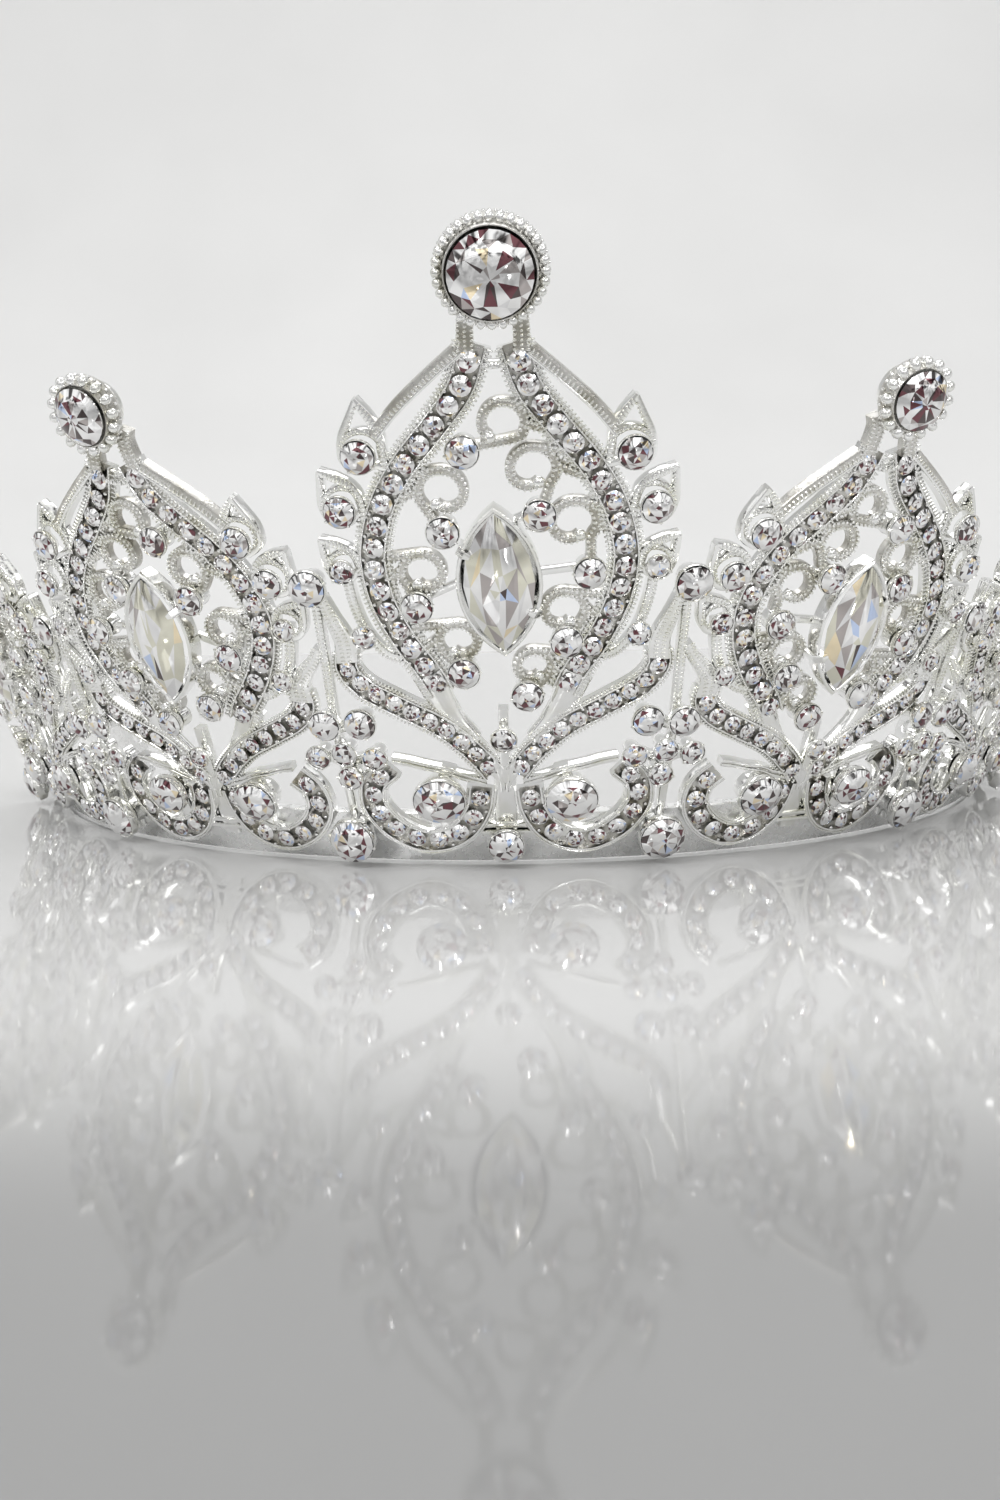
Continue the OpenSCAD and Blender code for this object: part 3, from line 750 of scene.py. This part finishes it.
def neck(shape, panel):
    a, kv, kf = panel.a, panel.kv, panel.kf
    top = MANDORLA[0][1] * kv
    f = FINIAL_V * kv
    half = 2.9 * (0.5 + kf / 2)
    for side in (-1, 1):
        line = smooth_line([[side * 2.9, top - 0.8], [side * half, top + 1.4],
                            [side * half * 0.98, f - 4.9 * kf], [side * half * 1.15, f - 3.4 * kf]], 0.25)
        # the neck rails under their beads are in the darker silver R: tarnish with painted shade
        rail(shape, a, line, 0.85, CAST - 0.05, mat=R)
        millegrain(shape, a, line, (-0.7, 0, 0.7), CAST - 0.08, 0.52, (0.19, 0.27, 0.24), G)
    cross = smooth_line([[-1.8, top - 1.9], [0, top - 2.3], [1.8, top - 1.9]], 0.25)
    strip(shape, a, cross, domed_strip(0.5, CAST - 0.2), P)
    millegrain(shape, a, cross, 0, CAST - 0.15, 0.62, (0.28, 0.42, 0.34), P)
    plate = revolve([(0, 0), (3.9 * kf, 0), (4.0 * kf, 0.2), (4.0 * kf, CAST - 0.1), (3.9 * kf, CAST),
                     (0, CAST)], 32)
    stand(shape, plate, a, [0, f], 0, P)


def marquise_struts(shape, panel):
    a = panel.a
    c = panel.marquise()
    v = panel.vine()
    way = panel.way
    ends = [(v[3], [way * 3.9, 0.2]), (v[4], [way * -3.9, -0.6]), (v[1], [way * 1.2, 6.2 * panel.kc]),
            (v[6], [way * -1.4, -6 * panel.kc])]
    for stone, step in ends:
        rail(shape, a, smooth_line([stone, c + step], 0.3), 0.45, FLOOR + 0.1)
    # open gallery under the bezel
    l, w = 7.6 * panel.kc, 3.3 * panel.kc
    for s in (-1, 1):
        edge = lens_side(l, w, s, 24)
        edge = turned(edge, MARQUISE_TURN * panel.way) + c
        rail(shape, a, edge, 0.4, FLOOR + 0.1)


def lens_side(l, w, side, n):
    """One side of a pointed oval from the lower tip to the upper one."""
    r = (l * l + w * w) / (2 * w)
    t = np.linspace(-1, 1, n) * math.asin(l / r)
    return np.stack([side * (r * np.cos(t) - (r - w)), r * np.sin(t)], -1)


def turned(p, degrees):
    t = math.radians(degrees)
    c, s = math.cos(t), math.sin(t)
    return np.asarray(p) @ np.array([[c, s], [-s, c]])


# ---- settings ----


def rim_height(r):
    return max(1.35, r * 0.65 + 0.2)


def cup_template(r, squash=1.0, n=28):
    top = rim_height(r)
    return revolve([(0, 0), (r * 0.6, 0), (r * 0.7, 0.08), (r + 0.16, 0.82), (r + 0.21, 0.95),
                    (r + 0.22, top - 0.12), (r + 0.18, top - 0.02), (r + 0.12, top), (r + 0.07, top - 0.05),
                    (r + 0.06, 0.85), (r * 0.5, 0.32), (0, 0.3)], n, squash)


def cup(shape, angle, q, r, squash=1.0):
    stand(shape, cup_template(r, squash), angle, q, CUP_BASE, C)
    turn_at = rng.uniform(0, 90)
    for k in range(4):
        t = math.radians(turn_at + 90 * k)
        p = np.array(q) + (r + 0.05) * np.array([math.cos(t) * squash, math.sin(t)])
        scatter(shape, FINE, angle, p, [[math.cos(t), math.sin(t)]], CUP_BASE + rim_height(r),
                (0.3, 0.22, 0.24), C)


def small_cups(panel):
    """Where a panel's cups stand: place, radius, squash."""
    k, ks = panel.kc, panel.ks
    out = [(q, VINE_STONE * k, 1.0) for q in panel.vine()]
    for side in (-1, 1):
        scale = [panel.ku * side, panel.kv]
        out.append((np.array(TAIL_STONE[:2]) * scale, TAIL_STONE[2] * k, 1.0))
        for i in range(3):
            out.append((np.array(LEAF_FEET[i]) * scale, LEAF_STONE[i] * k, 1.0))
    out.append((np.array([HEART[0], HEART[1] * panel.kv]), HEART[2] * ks, 1.0))
    return out


def foot_cups(panel):
    ks = panel.ks
    out = [(np.array([OVAL[0] * side, OVAL[1]]) * ks, OVAL[2] * ks, OVAL_SQUASH) for side in (-1, 1)]
    if panel.a == 0:
        out.append((np.array(FOOT_STONE[:2]), FOOT_STONE[2], 1.0))
    return out


def settings(panel):
    shape = Shape()
    for q, r, squash in small_cups(panel) + foot_cups(panel):
        cup(shape, panel.a, q, r, squash)
    shape.metal(panel.name, "stone_cups", "settings")


def finial_setting(panel):
    """A cup on a disc with a double row of beads round it."""
    shape = Shape()
    f = panel.kf
    q = panel.finial()
    body = revolve([(0, 0), (4.6 * f, 0), (5.3 * f, 0.15), (5.6 * f, 0.5), (5.7 * f, 0.9), (5.65 * f, 1.3),
                    (5.3 * f, 1.5), (4.95 * f, 1.55), (4.86 * f, 2.2 * f), (4.84 * f, 3.0 * f),
                    (4.78 * f, 3.16 * f), (4.66 * f, 3.18 * f), (4.58 * f, 3.05 * f), (4.5 * f, 1.5 * f),
                    (3.0 * f, 0.72 * f), (0, 0.7 * f)], 64)
    # the disc and cup are in the darker silver R: painted shade in the deep bezel, with some tarnish
    stand(shape, body, panel.a, q, CUP_BASE, R)
    count = 32 if f == 1 else 16
    r_bead = 0.5 if f == 1 else 0.66
    t = np.arange(count) * 2 * math.pi / count
    ring_of = np.stack([np.cos(t), np.sin(t)], -1)
    scatter(shape, ROUND, panel.a, np.array(q) + ring_of * 5.34 * f, ring_of, CUP_BASE + 1.95,
            (r_bead * 1.15, r_bead * 0.98, r_bead), P)
    inner = np.arange(count * 2) * math.pi / count
    small = np.stack([np.cos(inner), np.sin(inner)], -1)
    scatter(shape, FINE, panel.a, np.array(q) + small * 5.72 * f, small, CUP_BASE + 1.1,
            (0.2, 0.22, 0.3), P)
    shape.metal(panel.name, "finial_setting", "finial_cup")


def marquise_setting(panel):
    """A smooth pointed bezel with two claws."""
    shape = Shape()
    a, k = panel.a, panel.kc
    c = panel.marquise()
    base = FLOOR + 0.1 + GAP
    l, w = (MARQUISE_L + 0.8) * k, (MARQUISE_W + 0.65) * k
    rings = [(-0.4, 0), (0, 0.2), (0.06, 1.9), (0.02, 2.3), (-0.1, 2.42), (-0.3, 2.42), (-0.4, 2.3),
             (-0.42, 1.0), (-1.3, 0.7), (-1.6, 0)]
    n = 22
    loops = []
    for inset, high in rings:
        li, wi = l + inset * 1.6, w + inset
        right = lens_side(li, wi, 1, n)
        left = lens_side(li, wi, -1, n)[::-1]
        p = turned(np.vstack([right[:-1], left[:-1]]), MARQUISE_TURN * panel.way) + c
        loops.append(place(a, p[:, 0], p[:, 1], base + high))
    i, j, k_next = grid(len(loops), len(loops[0]))
    above = np.roll(i, -1, 0)
    quads = np.stack([i + j, i + k_next, above + k_next, above + j], -1).reshape(-1, 4)
    shape.add(np.vstack(loops), [quads], P)
    for side, at in ((-1, 0.42), (1, -0.38)):
        edge = turned(lens_side(l - 0.3, w - 0.15, side * panel.way, 41), MARQUISE_TURN * panel.way) + c
        i = int((at + 1) / 2 * 40)
        inward = (c + [0, at * l * 0.5] - edge[i])
        inward /= np.linalg.norm(inward)
        claw = np.array([edge[i] - inward * 0.55, edge[i] + inward * 0.2, edge[i] + inward * 0.95])
        rail(shape, a, claw, 0.5, base + 3.0, base, widths=[1.1, 1.0, 0.6], heights=[0.75, 1.0, 1.0])
    shape.metal(panel.name, "marquise_setting", "marquise_bezel", crease=30.0)


# ---- crystals ----

# the facets' painted tints, which stand in for the room's reflections and the stones' fire: mostly clear, a
# few dark, wine, blue and gold
PAINTED_TINTS = np.array([[1.0, 1.0, 1.0], [0.86, 0.86, 0.87], [0.5, 0.46, 0.45], [0.09, 0.065, 0.065],
                  [0.17, 0.045, 0.06], [0.6, 0.72, 1.0], [0.98, 0.84, 0.58], [0.8, 0.78, 0.66]])
# how often each painted tint is met near the top of a stone and low down in it; CLEAR and DEEP paint darker
# reflections low down, STRAW paints a white flash low down
CLEAR = np.array([[0.68, 0.08, 0.06, 0.07, 0.05, 0.03, 0.03, 0.0],
                  [0.42, 0.08, 0.1, 0.17, 0.15, 0.04, 0.04, 0.0]])
DEEP = np.array([[0.5, 0.1, 0.12, 0.12, 0.1, 0.03, 0.03, 0.0],
                 [0.2, 0.12, 0.2, 0.24, 0.18, 0.03, 0.03, 0.0]])
STRAW = np.array([[0.2, 0.2, 0.12, 0.0, 0.0, 0.0, 0.03, 0.45],
                  [0.56, 0.14, 0.1, 0.02, 0.04, 0.06, 0.02, 0.06]])


def facet_tints(centres, mood):
    """One painted tint for each facet, drawn from the chances for the top of a stone or for low down in it:
    in most moods painted light near the top and painted dark reflections lower down.
    """
    lowness = np.clip(0.55 - 0.75 * centres[:, 1], 0.05, 1.0) * np.clip(1.25 - np.hypot(*centres.T), 0.3, 1.0)
    chance = mood[0] + (mood[1] - mood[0]) * lowness[:, None]
    choice = (rng.random(len(centres))[:, None] > np.cumsum(chance, 1)).sum(1)
    return PAINTED_TINTS[np.minimum(choice, len(PAINTED_TINTS) - 1)]


def brilliant(n=8, table=0.5, crown=0.34, depth=0.6, outline=None, seed=3, jitter=0.05):
    """A cut stone of unit radius with its girdle at height 0, its table broken up as the cut
    behind it shows through: facets on top, then the band and the back."""
    own = np.random.default_rng(seed)
    if outline is None:
        def outline(t, s):
            return np.array([math.cos(t) * s, math.sin(t) * s])
    step = 2 * math.pi / n
    pts = []

    def row(count, shift, s, z, wobble=0.0):
        first = len(pts)
        for i in range(count):
            d = own.uniform(-1, 1, 3) * wobble
            pts.append([*outline((i + shift + d[0] * 1.5) * step * n / count, s + d[1]), z + d[2] * 0.8])
        return [first + i for i in range(count)]

    pts.append([*outline(own.uniform(0, 6), 0.07), crown * 0.98])
    core = row(n, 0.0, table * 0.34, crown * 0.99, jitter)
    tab = row(n, 0.5, table, crown * 0.86, jitter)
    star = row(n, 0.0, table + (1 - table) * 0.46, crown * 0.5, jitter * 0.4)
    rim = row(2 * n, 0.0, 1.0, 0.03)
    under = row(2 * n, 0.0, 1.0, -0.03)
    deep = row(n, 0.5, 0.42, -depth * 0.66)
    pts.append([*outline(0.0, 0.0), -depth])
    culet = len(pts) - 1
    top, low3, low4 = [], [], []
    for i in range(n):
        j = (i + 1) % n
        top += [[0, core[i], core[j]], [core[i], tab[i], core[j]], [tab[i], tab[j], core[j]],
                [tab[i], star[j], tab[j]], [tab[i], star[i], star[j]],
                [star[i], rim[2 * i], rim[2 * i + 1]], [star[i], rim[2 * i + 1], star[j]],
                [star[j], rim[2 * i + 1], rim[2 * j]]]
        low3 += [[under[2 * i], deep[i], under[2 * i + 1]], [under[2 * i + 1], deep[i], under[2 * j]]]
        low4.append([culet, deep[j], under[2 * j], deep[i]])
    band = [[under[j], under[(j + 1) % (2 * n)], rim[(j + 1) % (2 * n)], rim[j]] for j in range(2 * n)]
    pts = np.array(pts)
    top = np.array(top)
    size = np.abs(pts[:, :2]).max(0)
    return {"verts": pts, "top": top, "band": np.array(band), "low3": np.array(low3), "low4": np.array(low4),
            "centres": (pts[top][:, :, :2] / size).mean(1)}


def lens_outline(l, w):
    r = (l * l + w * w) / (2 * w)

    def outline(t, s):
        y = l * math.sin(t)
        x = math.sqrt(max(0.0, r * r - y * y)) - (r - w)
        if abs(math.cos(t)) < 1e-9:
            x = 0.0
        return np.array([math.copysign(x, math.cos(t)) * s, y * s])
    return outline


STONES = [brilliant(7, 0.58, seed=k, jitter=0.06) for k in range(8)]
WIDES = [brilliant(10, 0.6, seed=k, jitter=0.045) for k in range(20, 24)]
LARGE = brilliant(13, 0.66, 0.3, 0.62, seed=5, jitter=0.035)


def crystal(shape, angle, q, r, base, cuts=STONES, squash=1.0, spin=None, lean=0.05, size=None,
            mood=CLEAR):
    """A cut stone with its point at height base."""
    cut = cuts[rng.integers(len(cuts))]
    verts = cut["verts"] * ((r * squash, r, r) if size is None else size)
    low = verts[:, 2].min()
    verts = verts - [0, 0, low]
    spin = rng.uniform(0, 2 * math.pi) if spin is None else spin
    tilt = rng.uniform(-lean, lean, 2)
    faces = [cut["top"], cut["band"], cut["low3"], cut["low4"]]
    c, s = math.cos(spin), math.sin(spin)
    # the top facets get painted reflection tints; the band and the back are dimmed to 0.8
    top = facet_tints(cut["centres"] @ np.array([[c, s], [-s, c]]), mood)
    stand(shape, (verts, faces), angle, q, base, [0, 1, 1, 1], spin, tilt, False, [top, 0.8, 0.8, 0.8], -low)


def pave_stones(panel):
    shape = Shape()
    a = panel.a
    base = FLOOR + GAP
    for side in (-1, 1):
        for q in spaced(sized(MANDORLA, panel.ku, panel.kv), *RIM_PAVE):
            crystal(shape, a, q * [side, 1], RIM_STONE, base, lean=PAVE_LEAN)
        for q in spaced(sized(ARM, panel.ks, panel.kv), *ARM_PAVE):
            crystal(shape, a, q * [side, 1], SMALL_STONE, base, lean=PAVE_LEAN)
    shape.stones(panel.name, "pave_stones", "pave_crystals")


def accent_stones(panel):
    shape = Shape()
    for q, r, _ in small_cups(panel):
        crystal(shape, panel.a, q, r + STONE_LAP, CUP_FLOOR)
    shape.stones(panel.name, "accent_stones", "accent_crystals")


def base_stones(panel):
    shape = Shape()
    a, k = panel.a, panel.ks
    for side in (-1, 1):
        for q in spaced(sized(SCROLL, k, k), *SCROLL_PAVE):
            crystal(shape, a, q * [side, 1], SCROLL_STONE, FLOOR + GAP, lean=PAVE_LEAN)
    for q, r, squash in foot_cups(panel):
        crystal(shape, a, q, r + STONE_LAP, CUP_FLOOR, WIDES, squash=squash, spin=0.0)
    shape.stones(panel.name, "base_stones", "base_crystals")


def finial_stone(panel):
    shape = Shape()
    base = CUP_BASE + GAP + 0.72 * panel.kf
    crystal(shape, panel.a, panel.finial(), FINIAL_STONE * panel.kf, base, [LARGE], lean=0.05, mood=DEEP)
    shape.stones(panel.name, "finial_stone", "finial_crystal", "large_crystal")


def marquise_stone(panel):
    shape = Shape()
    k = panel.kc
    cut = brilliant(8, 0.62, 1.25, 1.45, lens_outline(MARQUISE_L * k, MARQUISE_W * k), seed=9, jitter=0.05)
    crystal(shape, panel.a, panel.marquise(), 1, FLOOR + 1 + 2 * GAP, [cut],
            spin=math.radians(MARQUISE_TURN * panel.way), lean=0.02, size=(1, 1, 1), mood=STRAW)
    shape.stones(panel.name, "marquise_stone", "marquise_crystal", "large_crystal")


# ---- between the panels and at the ends ----


def border_q(border, side, q):
    return np.array([-side * q[0], q[1] - CLUSTER[5][1] * (1 - border[2])])


def junction(border, side_name, side):
    shape = Shape()
    name, number, kb, kc = border
    a = side * number * PITCH
    top = [0, BORDER_TOP[0] * kb]
    stem = smooth_line([[0, 2], [0.2 * side, 12 * kb], [0.4 * side, 20 * kb], [0.15 * side, 29 * kb], top])
    rail(shape, a, stem, 0.5, CAST - 0.2)
    millegrain(shape, a, stem, (-0.3, 0.3), CAST - 0.22, 0.5, (0.18, 0.26, 0.22), G, 20 * kb, 1.0)
    for i in (0, 1, 3, 4):
        p = border_q(border, side, CLUSTER[i])
        q = border_q(border, side, [0, CLUSTER[i][1] - 1.5])
        rail(shape, a, smooth_line([p, (p + q) / 2 - [0, 0.2], q], 0.3), 0.6, CAST - 0.25)
    seats = [(border_q(border, side, q), q[2] * kc * 0.62) for q in CLUSTER]
    seats += [(top, 1.35), ([0, BORDER_FOOT[0]], 1.8)]
    for q, r in seats:
        boss(shape, a, q, r, r + 0.1, r, 18)
    shape.metal(f"{side_name}_{name}", "link", "junction")


def junction_cups_and_stones():
    cups, stones = Shape(), Shape()
    for side in (-1, 1):
        for border in BORDERS:
            name, number, kb, kc = border
            a = side * number * PITCH
            places = [(border_q(border, side, q), q[2] * kc, STONES) for q in CLUSTER]
            places += [(np.array([0, BORDER_TOP[0] * kb]), BORDER_TOP[1] * kc, STONES),
                       (np.array([0, BORDER_FOOT[0]]), BORDER_FOOT[1], WIDES)]
            for q, r, cuts in places:
                cup(cups, a, q, r)
                crystal(stones, a, q, r + STONE_LAP, CUP_FLOOR, cuts, lean=0.07)
            if name == "end":
                cup(cups, a, [END_STONE[0] * side, END_STONE[1]], END_STONE[2])
    cups.metal("junction", "stone_cups", "settings")
    stones.stones("junction", "stones", "crystals")


def tapered_end(side_name, side):
    a = side * 2.5 * PITCH
    shape = Shape()
    line = smooth_line(sized(END_LINE, side, 1))
    channel(shape, a, line, 1.7, 0.5, True)
    millegrain(shape, a, line, (-1.72, 1.72), CAST - 0.25, 0.55, (0.19, 0.3, 0.25), G)
    pave_prongs(shape, a, spaced(sized(END_LINE, side, 1), *END_PAVE), 1.08)
    end_stone = [END_STONE[0] * side, END_STONE[1]]
    curl = smooth_line(sized(END_CURL, side, 1), 0.25)
    rail(shape, a, curl, 0.55, CAST - 0.1)
    millegrain(shape, a, curl, (0.48, -0.48), CAST - 0.2, 0.5, (0.17, 0.26, 0.24), G)
    rail(shape, a, smooth_line([end_stone, [12.4 * side, 7.6]]), 0.5, CAST - 0.2)
    hook = resample(arc([9.4, 3.4], 1.4, 110, -200, 26) * [side, 1], 0.25)
    strip(shape, a, hook, domed_strip(0.45, CAST - 0.1), P)
    millegrain(shape, a, hook, 0.36, CAST - 0.25, 0.46, (0.16, 0.24, 0.24), G)
    boss(shape, a, end_stone, 1.1, 1.2, 1.1)
    shape.metal(side_name, "end_scroll", "end_casting")
    stones = Shape()
    for q in spaced(END_LINE, *END_PAVE):
        crystal(stones, a, q * [side, 1], SMALL_STONE, FLOOR + GAP, lean=PAVE_LEAN)
    crystal(stones, a, end_stone, END_STONE[2], CUP_FLOOR)
    stones.stones(side_name, "end_stones", "end_crystals")


# ---- the head band ----


def head_band():
    """A plain satin strip, and a round pierced tab at each end of it."""
    shape = Shape()
    back, front = -GAP - BAND_T, -GAP
    e = 0.16
    low, high = 0.0, BAND_H
    run = BAND_HALF - 1.2
    sec = [(low + e, back), (low, back + e), (low, front - e), (low + e, front), (high - e, front),
           (high, front - e), (high, back + e), (high - e, back)]
    n = 361
    t = np.linspace(-run, run, n)
    verts = []
    for v, w in sec:
        r = BAND_R + v * math.sin(FLARE) + w * math.cos(FLARE)
        z = max(v * math.cos(FLARE) - w * math.sin(FLARE), 0.0)
        tt = np.radians(t)
        verts.append(np.stack([r * np.sin(tt), CROWN_Y - r * np.cos(tt), np.full(n, z)], -1))
    verts = np.stack(verts, 1).reshape(-1, 3)
    m = len(sec)
    i, j, k = grid(n - 1, m)
    quads = np.stack([i + j, i + k, i + m + k, i + m + j], -1).reshape(-1, 4)
    shape.add(verts, [quads, j[:, ::-1], j + (n - 1) * m])
    shape.piece("head_band_strip", [BAND], "headband")
    hole, rim = 1.25, BAND_H / 2
    for side_name, side in SIDES:
        tab = Shape()
        profile = [(hole + e, 0), (rim - e, 0), (rim, e), (rim, BAND_T - e), (rim - e, BAND_T),
                   (hole + e, BAND_T), (hole, BAND_T - e), (hole, e), (hole + e, 0)]
        stand(tab, revolve(profile, 64), side * BAND_HALF, [0, BAND_H / 2 + 0.05], back, 0)
        tab.piece(f"{side_name}_pierced_tab", [BAND], f"{side_name}_end_tab")


# ---- stage ----


def plain(name, low, high, rough, scale):
    m, nodes, links, shader = material(name)
    tex = noise(nodes, links, scale)
    colour = ramp(nodes, links, tex.outputs["Fac"], [(0.35, low), (0.65, high)])
    links.new(colour.outputs["Color"], shader.inputs["Base Color"])
    put(shader, Roughness=rough)
    return m


def floor_gloss():
    """The glossy floor is paler by the crown than towards the viewer: painted light lifts it by the crown
    against the crown's shadow, and a painted dark reflection of the room darkens its front.
    """
    m = plain("floor_gloss", (0.96, 0.96, 0.955), (1.0, 1.0, 0.995), 0.045, 6.0)
    nodes, links = m.node_tree.nodes, m.node_tree.links
    shader = nodes["Principled BSDF"]
    cloud = shader.inputs["Base Color"].links[0].from_socket
    where = nodes.new("ShaderNodeTexCoord")
    part = nodes.new("ShaderNodeSeparateXYZ")
    links.new(where.outputs["Object"], part.inputs["Vector"])
    # painted light and reflection: the floor's colour falls from 0.66 by the crown to 0.33 towards the viewer
    near = nodes.new("ShaderNodeMapRange")
    near.interpolation_type = "SMOOTHSTEP"
    put(near, From_Min=-0.14, From_Max=-0.09, To_Min=0.33, To_Max=0.66)
    links.new(part.outputs["Y"], near.inputs["Value"])
    links.new(multiply(nodes, links, cloud, near.outputs["Result"]), shader.inputs["Base Color"])
    return m


def stage_floor():
    """A glossy pale floor, and a matt pale backdrop that curves up behind it."""
    n = 24
    profile = [(-2.5, 0.0), (0.3, 0.0), (0.35, 0.0)]
    for i in range(1, n + 1):
        t = math.pi / 2 * i / n
        profile.append((0.35 + 0.45 * math.sin(t), 0.45 - 0.45 * math.cos(t)))
    profile.append((0.8, 2.2))
    verts = [(x, y, z - 0.0002) for y, z in profile for x in (-2.5, 2.5)]
    faces = [(2 * i, 2 * i + 1, 2 * i + 3, 2 * i + 2) for i in range(len(profile) - 1)]
    mesh = bpy.data.meshes.new("floor_sweep")
    mesh.from_pydata(verts, [], faces)
    mesh.polygons.foreach_set("use_smooth", [True] * len(faces))
    mesh.materials.append(floor_gloss())
    mesh.materials.append(plain("backdrop_paper", (0.76, 0.76, 0.755), (0.8, 0.8, 0.795), 0.7, 6.0))
    mesh.polygons.foreach_set("material_index", [0] + [1] * (len(faces) - 1))
    new_object("floor_sweep", mesh)


def area(name, at, size, power):
    """A white panel light that faces the middle of the crown."""
    data = bpy.data.lights.new(name, "AREA")
    data.shape = "RECTANGLE"
    data.size, data.size_y = size
    data.energy = power
    obj = new_object(name, data)
    obj.location = at
    obj.rotation_mode = "QUATERNION"
    obj.rotation_quaternion = (Vector((0, -0.02, 0.03)) - Vector(at)).to_track_quat("-Z", "Y")


def lights():
    area("key", (-0.5, -0.55, 0.95), (0.5, 0.35), 3.4)
    area("fill", (0.75, -0.5, 0.6), (0.5, 0.5), 0.8)
    area("top", (0.0, 0.25, 1.1), (0.9, 0.5), 3.4)
    area("front", (0.0, -0.9, 0.28), (1.2, 0.35), 0.5)
    area("glint_a", (-0.16, -0.6, 0.42), (0.05, 0.05), 0.3)
    area("glint_b", (0.3, -0.62, 0.2), (0.05, 0.09), 0.3)
    world = bpy.data.worlds.new("studio")
    bpy.context.scene.world = world
    world.use_nodes = True
    nodes, links = world.node_tree.nodes, world.node_tree.links
    back = nodes["Background"]
    # a pale studio with softly darker places, which give the silver something to mirror
    clouds = noise(nodes, links, 6.0, 1.0, "Generated")
    tones = ramp(nodes, links, clouds.outputs["Fac"], [(0.38, (0.1, 0.095, 0.095)), (0.46, (0.7, 0.7, 0.7)),
                                                       (0.53, (1.1, 1.1, 1.1)), (0.75, (1.35, 1.35, 1.33))])
    links.new(tones.outputs["Color"], back.inputs["Color"])
    put(back, Strength=0.8)


# ---- camera ----


def camera():
    """In front of the centre panel, 4 cm above the floor and looking down a little."""
    at = np.array([4.905, -268.4 + CROWN_Y, 41.297]) * MM
    pitch, yaw, roll = 0.140, 0.029, 0.017
    right0 = np.array([math.cos(yaw), math.sin(yaw), 0])
    ahead = np.array([-math.sin(yaw) * math.cos(pitch), math.cos(yaw) * math.cos(pitch), -math.sin(pitch)])
    up0 = np.array([-math.sin(yaw) * math.sin(pitch), math.cos(yaw) * math.sin(pitch), math.cos(pitch)])
    right = right0 * math.cos(roll) - up0 * math.sin(roll)
    up = right0 * math.sin(roll) + up0 * math.cos(roll)
    data = bpy.data.cameras.new("camera")
    data.sensor_width = 36.0
    data.lens = 38.4
    data.clip_start = 0.01
    data.clip_end = 20.0
    obj = new_object("camera", data)
    m = Matrix.Identity(4)
    for i in range(3):
        m[i][0], m[i][1], m[i][2], m[i][3] = right[i], up[i], -ahead[i], at[i]
    obj.matrix_world = m
    bpy.context.scene.camera = obj


# ---- the whole scene ----

camera()
stage_floor()
lights()
bpy.context.scene.view_settings.view_transform = "Standard"
head_band()
for row in PANELS:
    one = Panel(row)
    casting(one)
    settings(one)
    finial_setting(one)
    finial_stone(one)
    marquise_setting(one)
    marquise_stone(one)
    pave_stones(one)
    accent_stones(one)
    base_stones(one)
for side_name, side in SIDES:
    for border in BORDERS:
        junction(border, side_name, side)
    tapered_end(side_name, side)
junction_cups_and_stones()
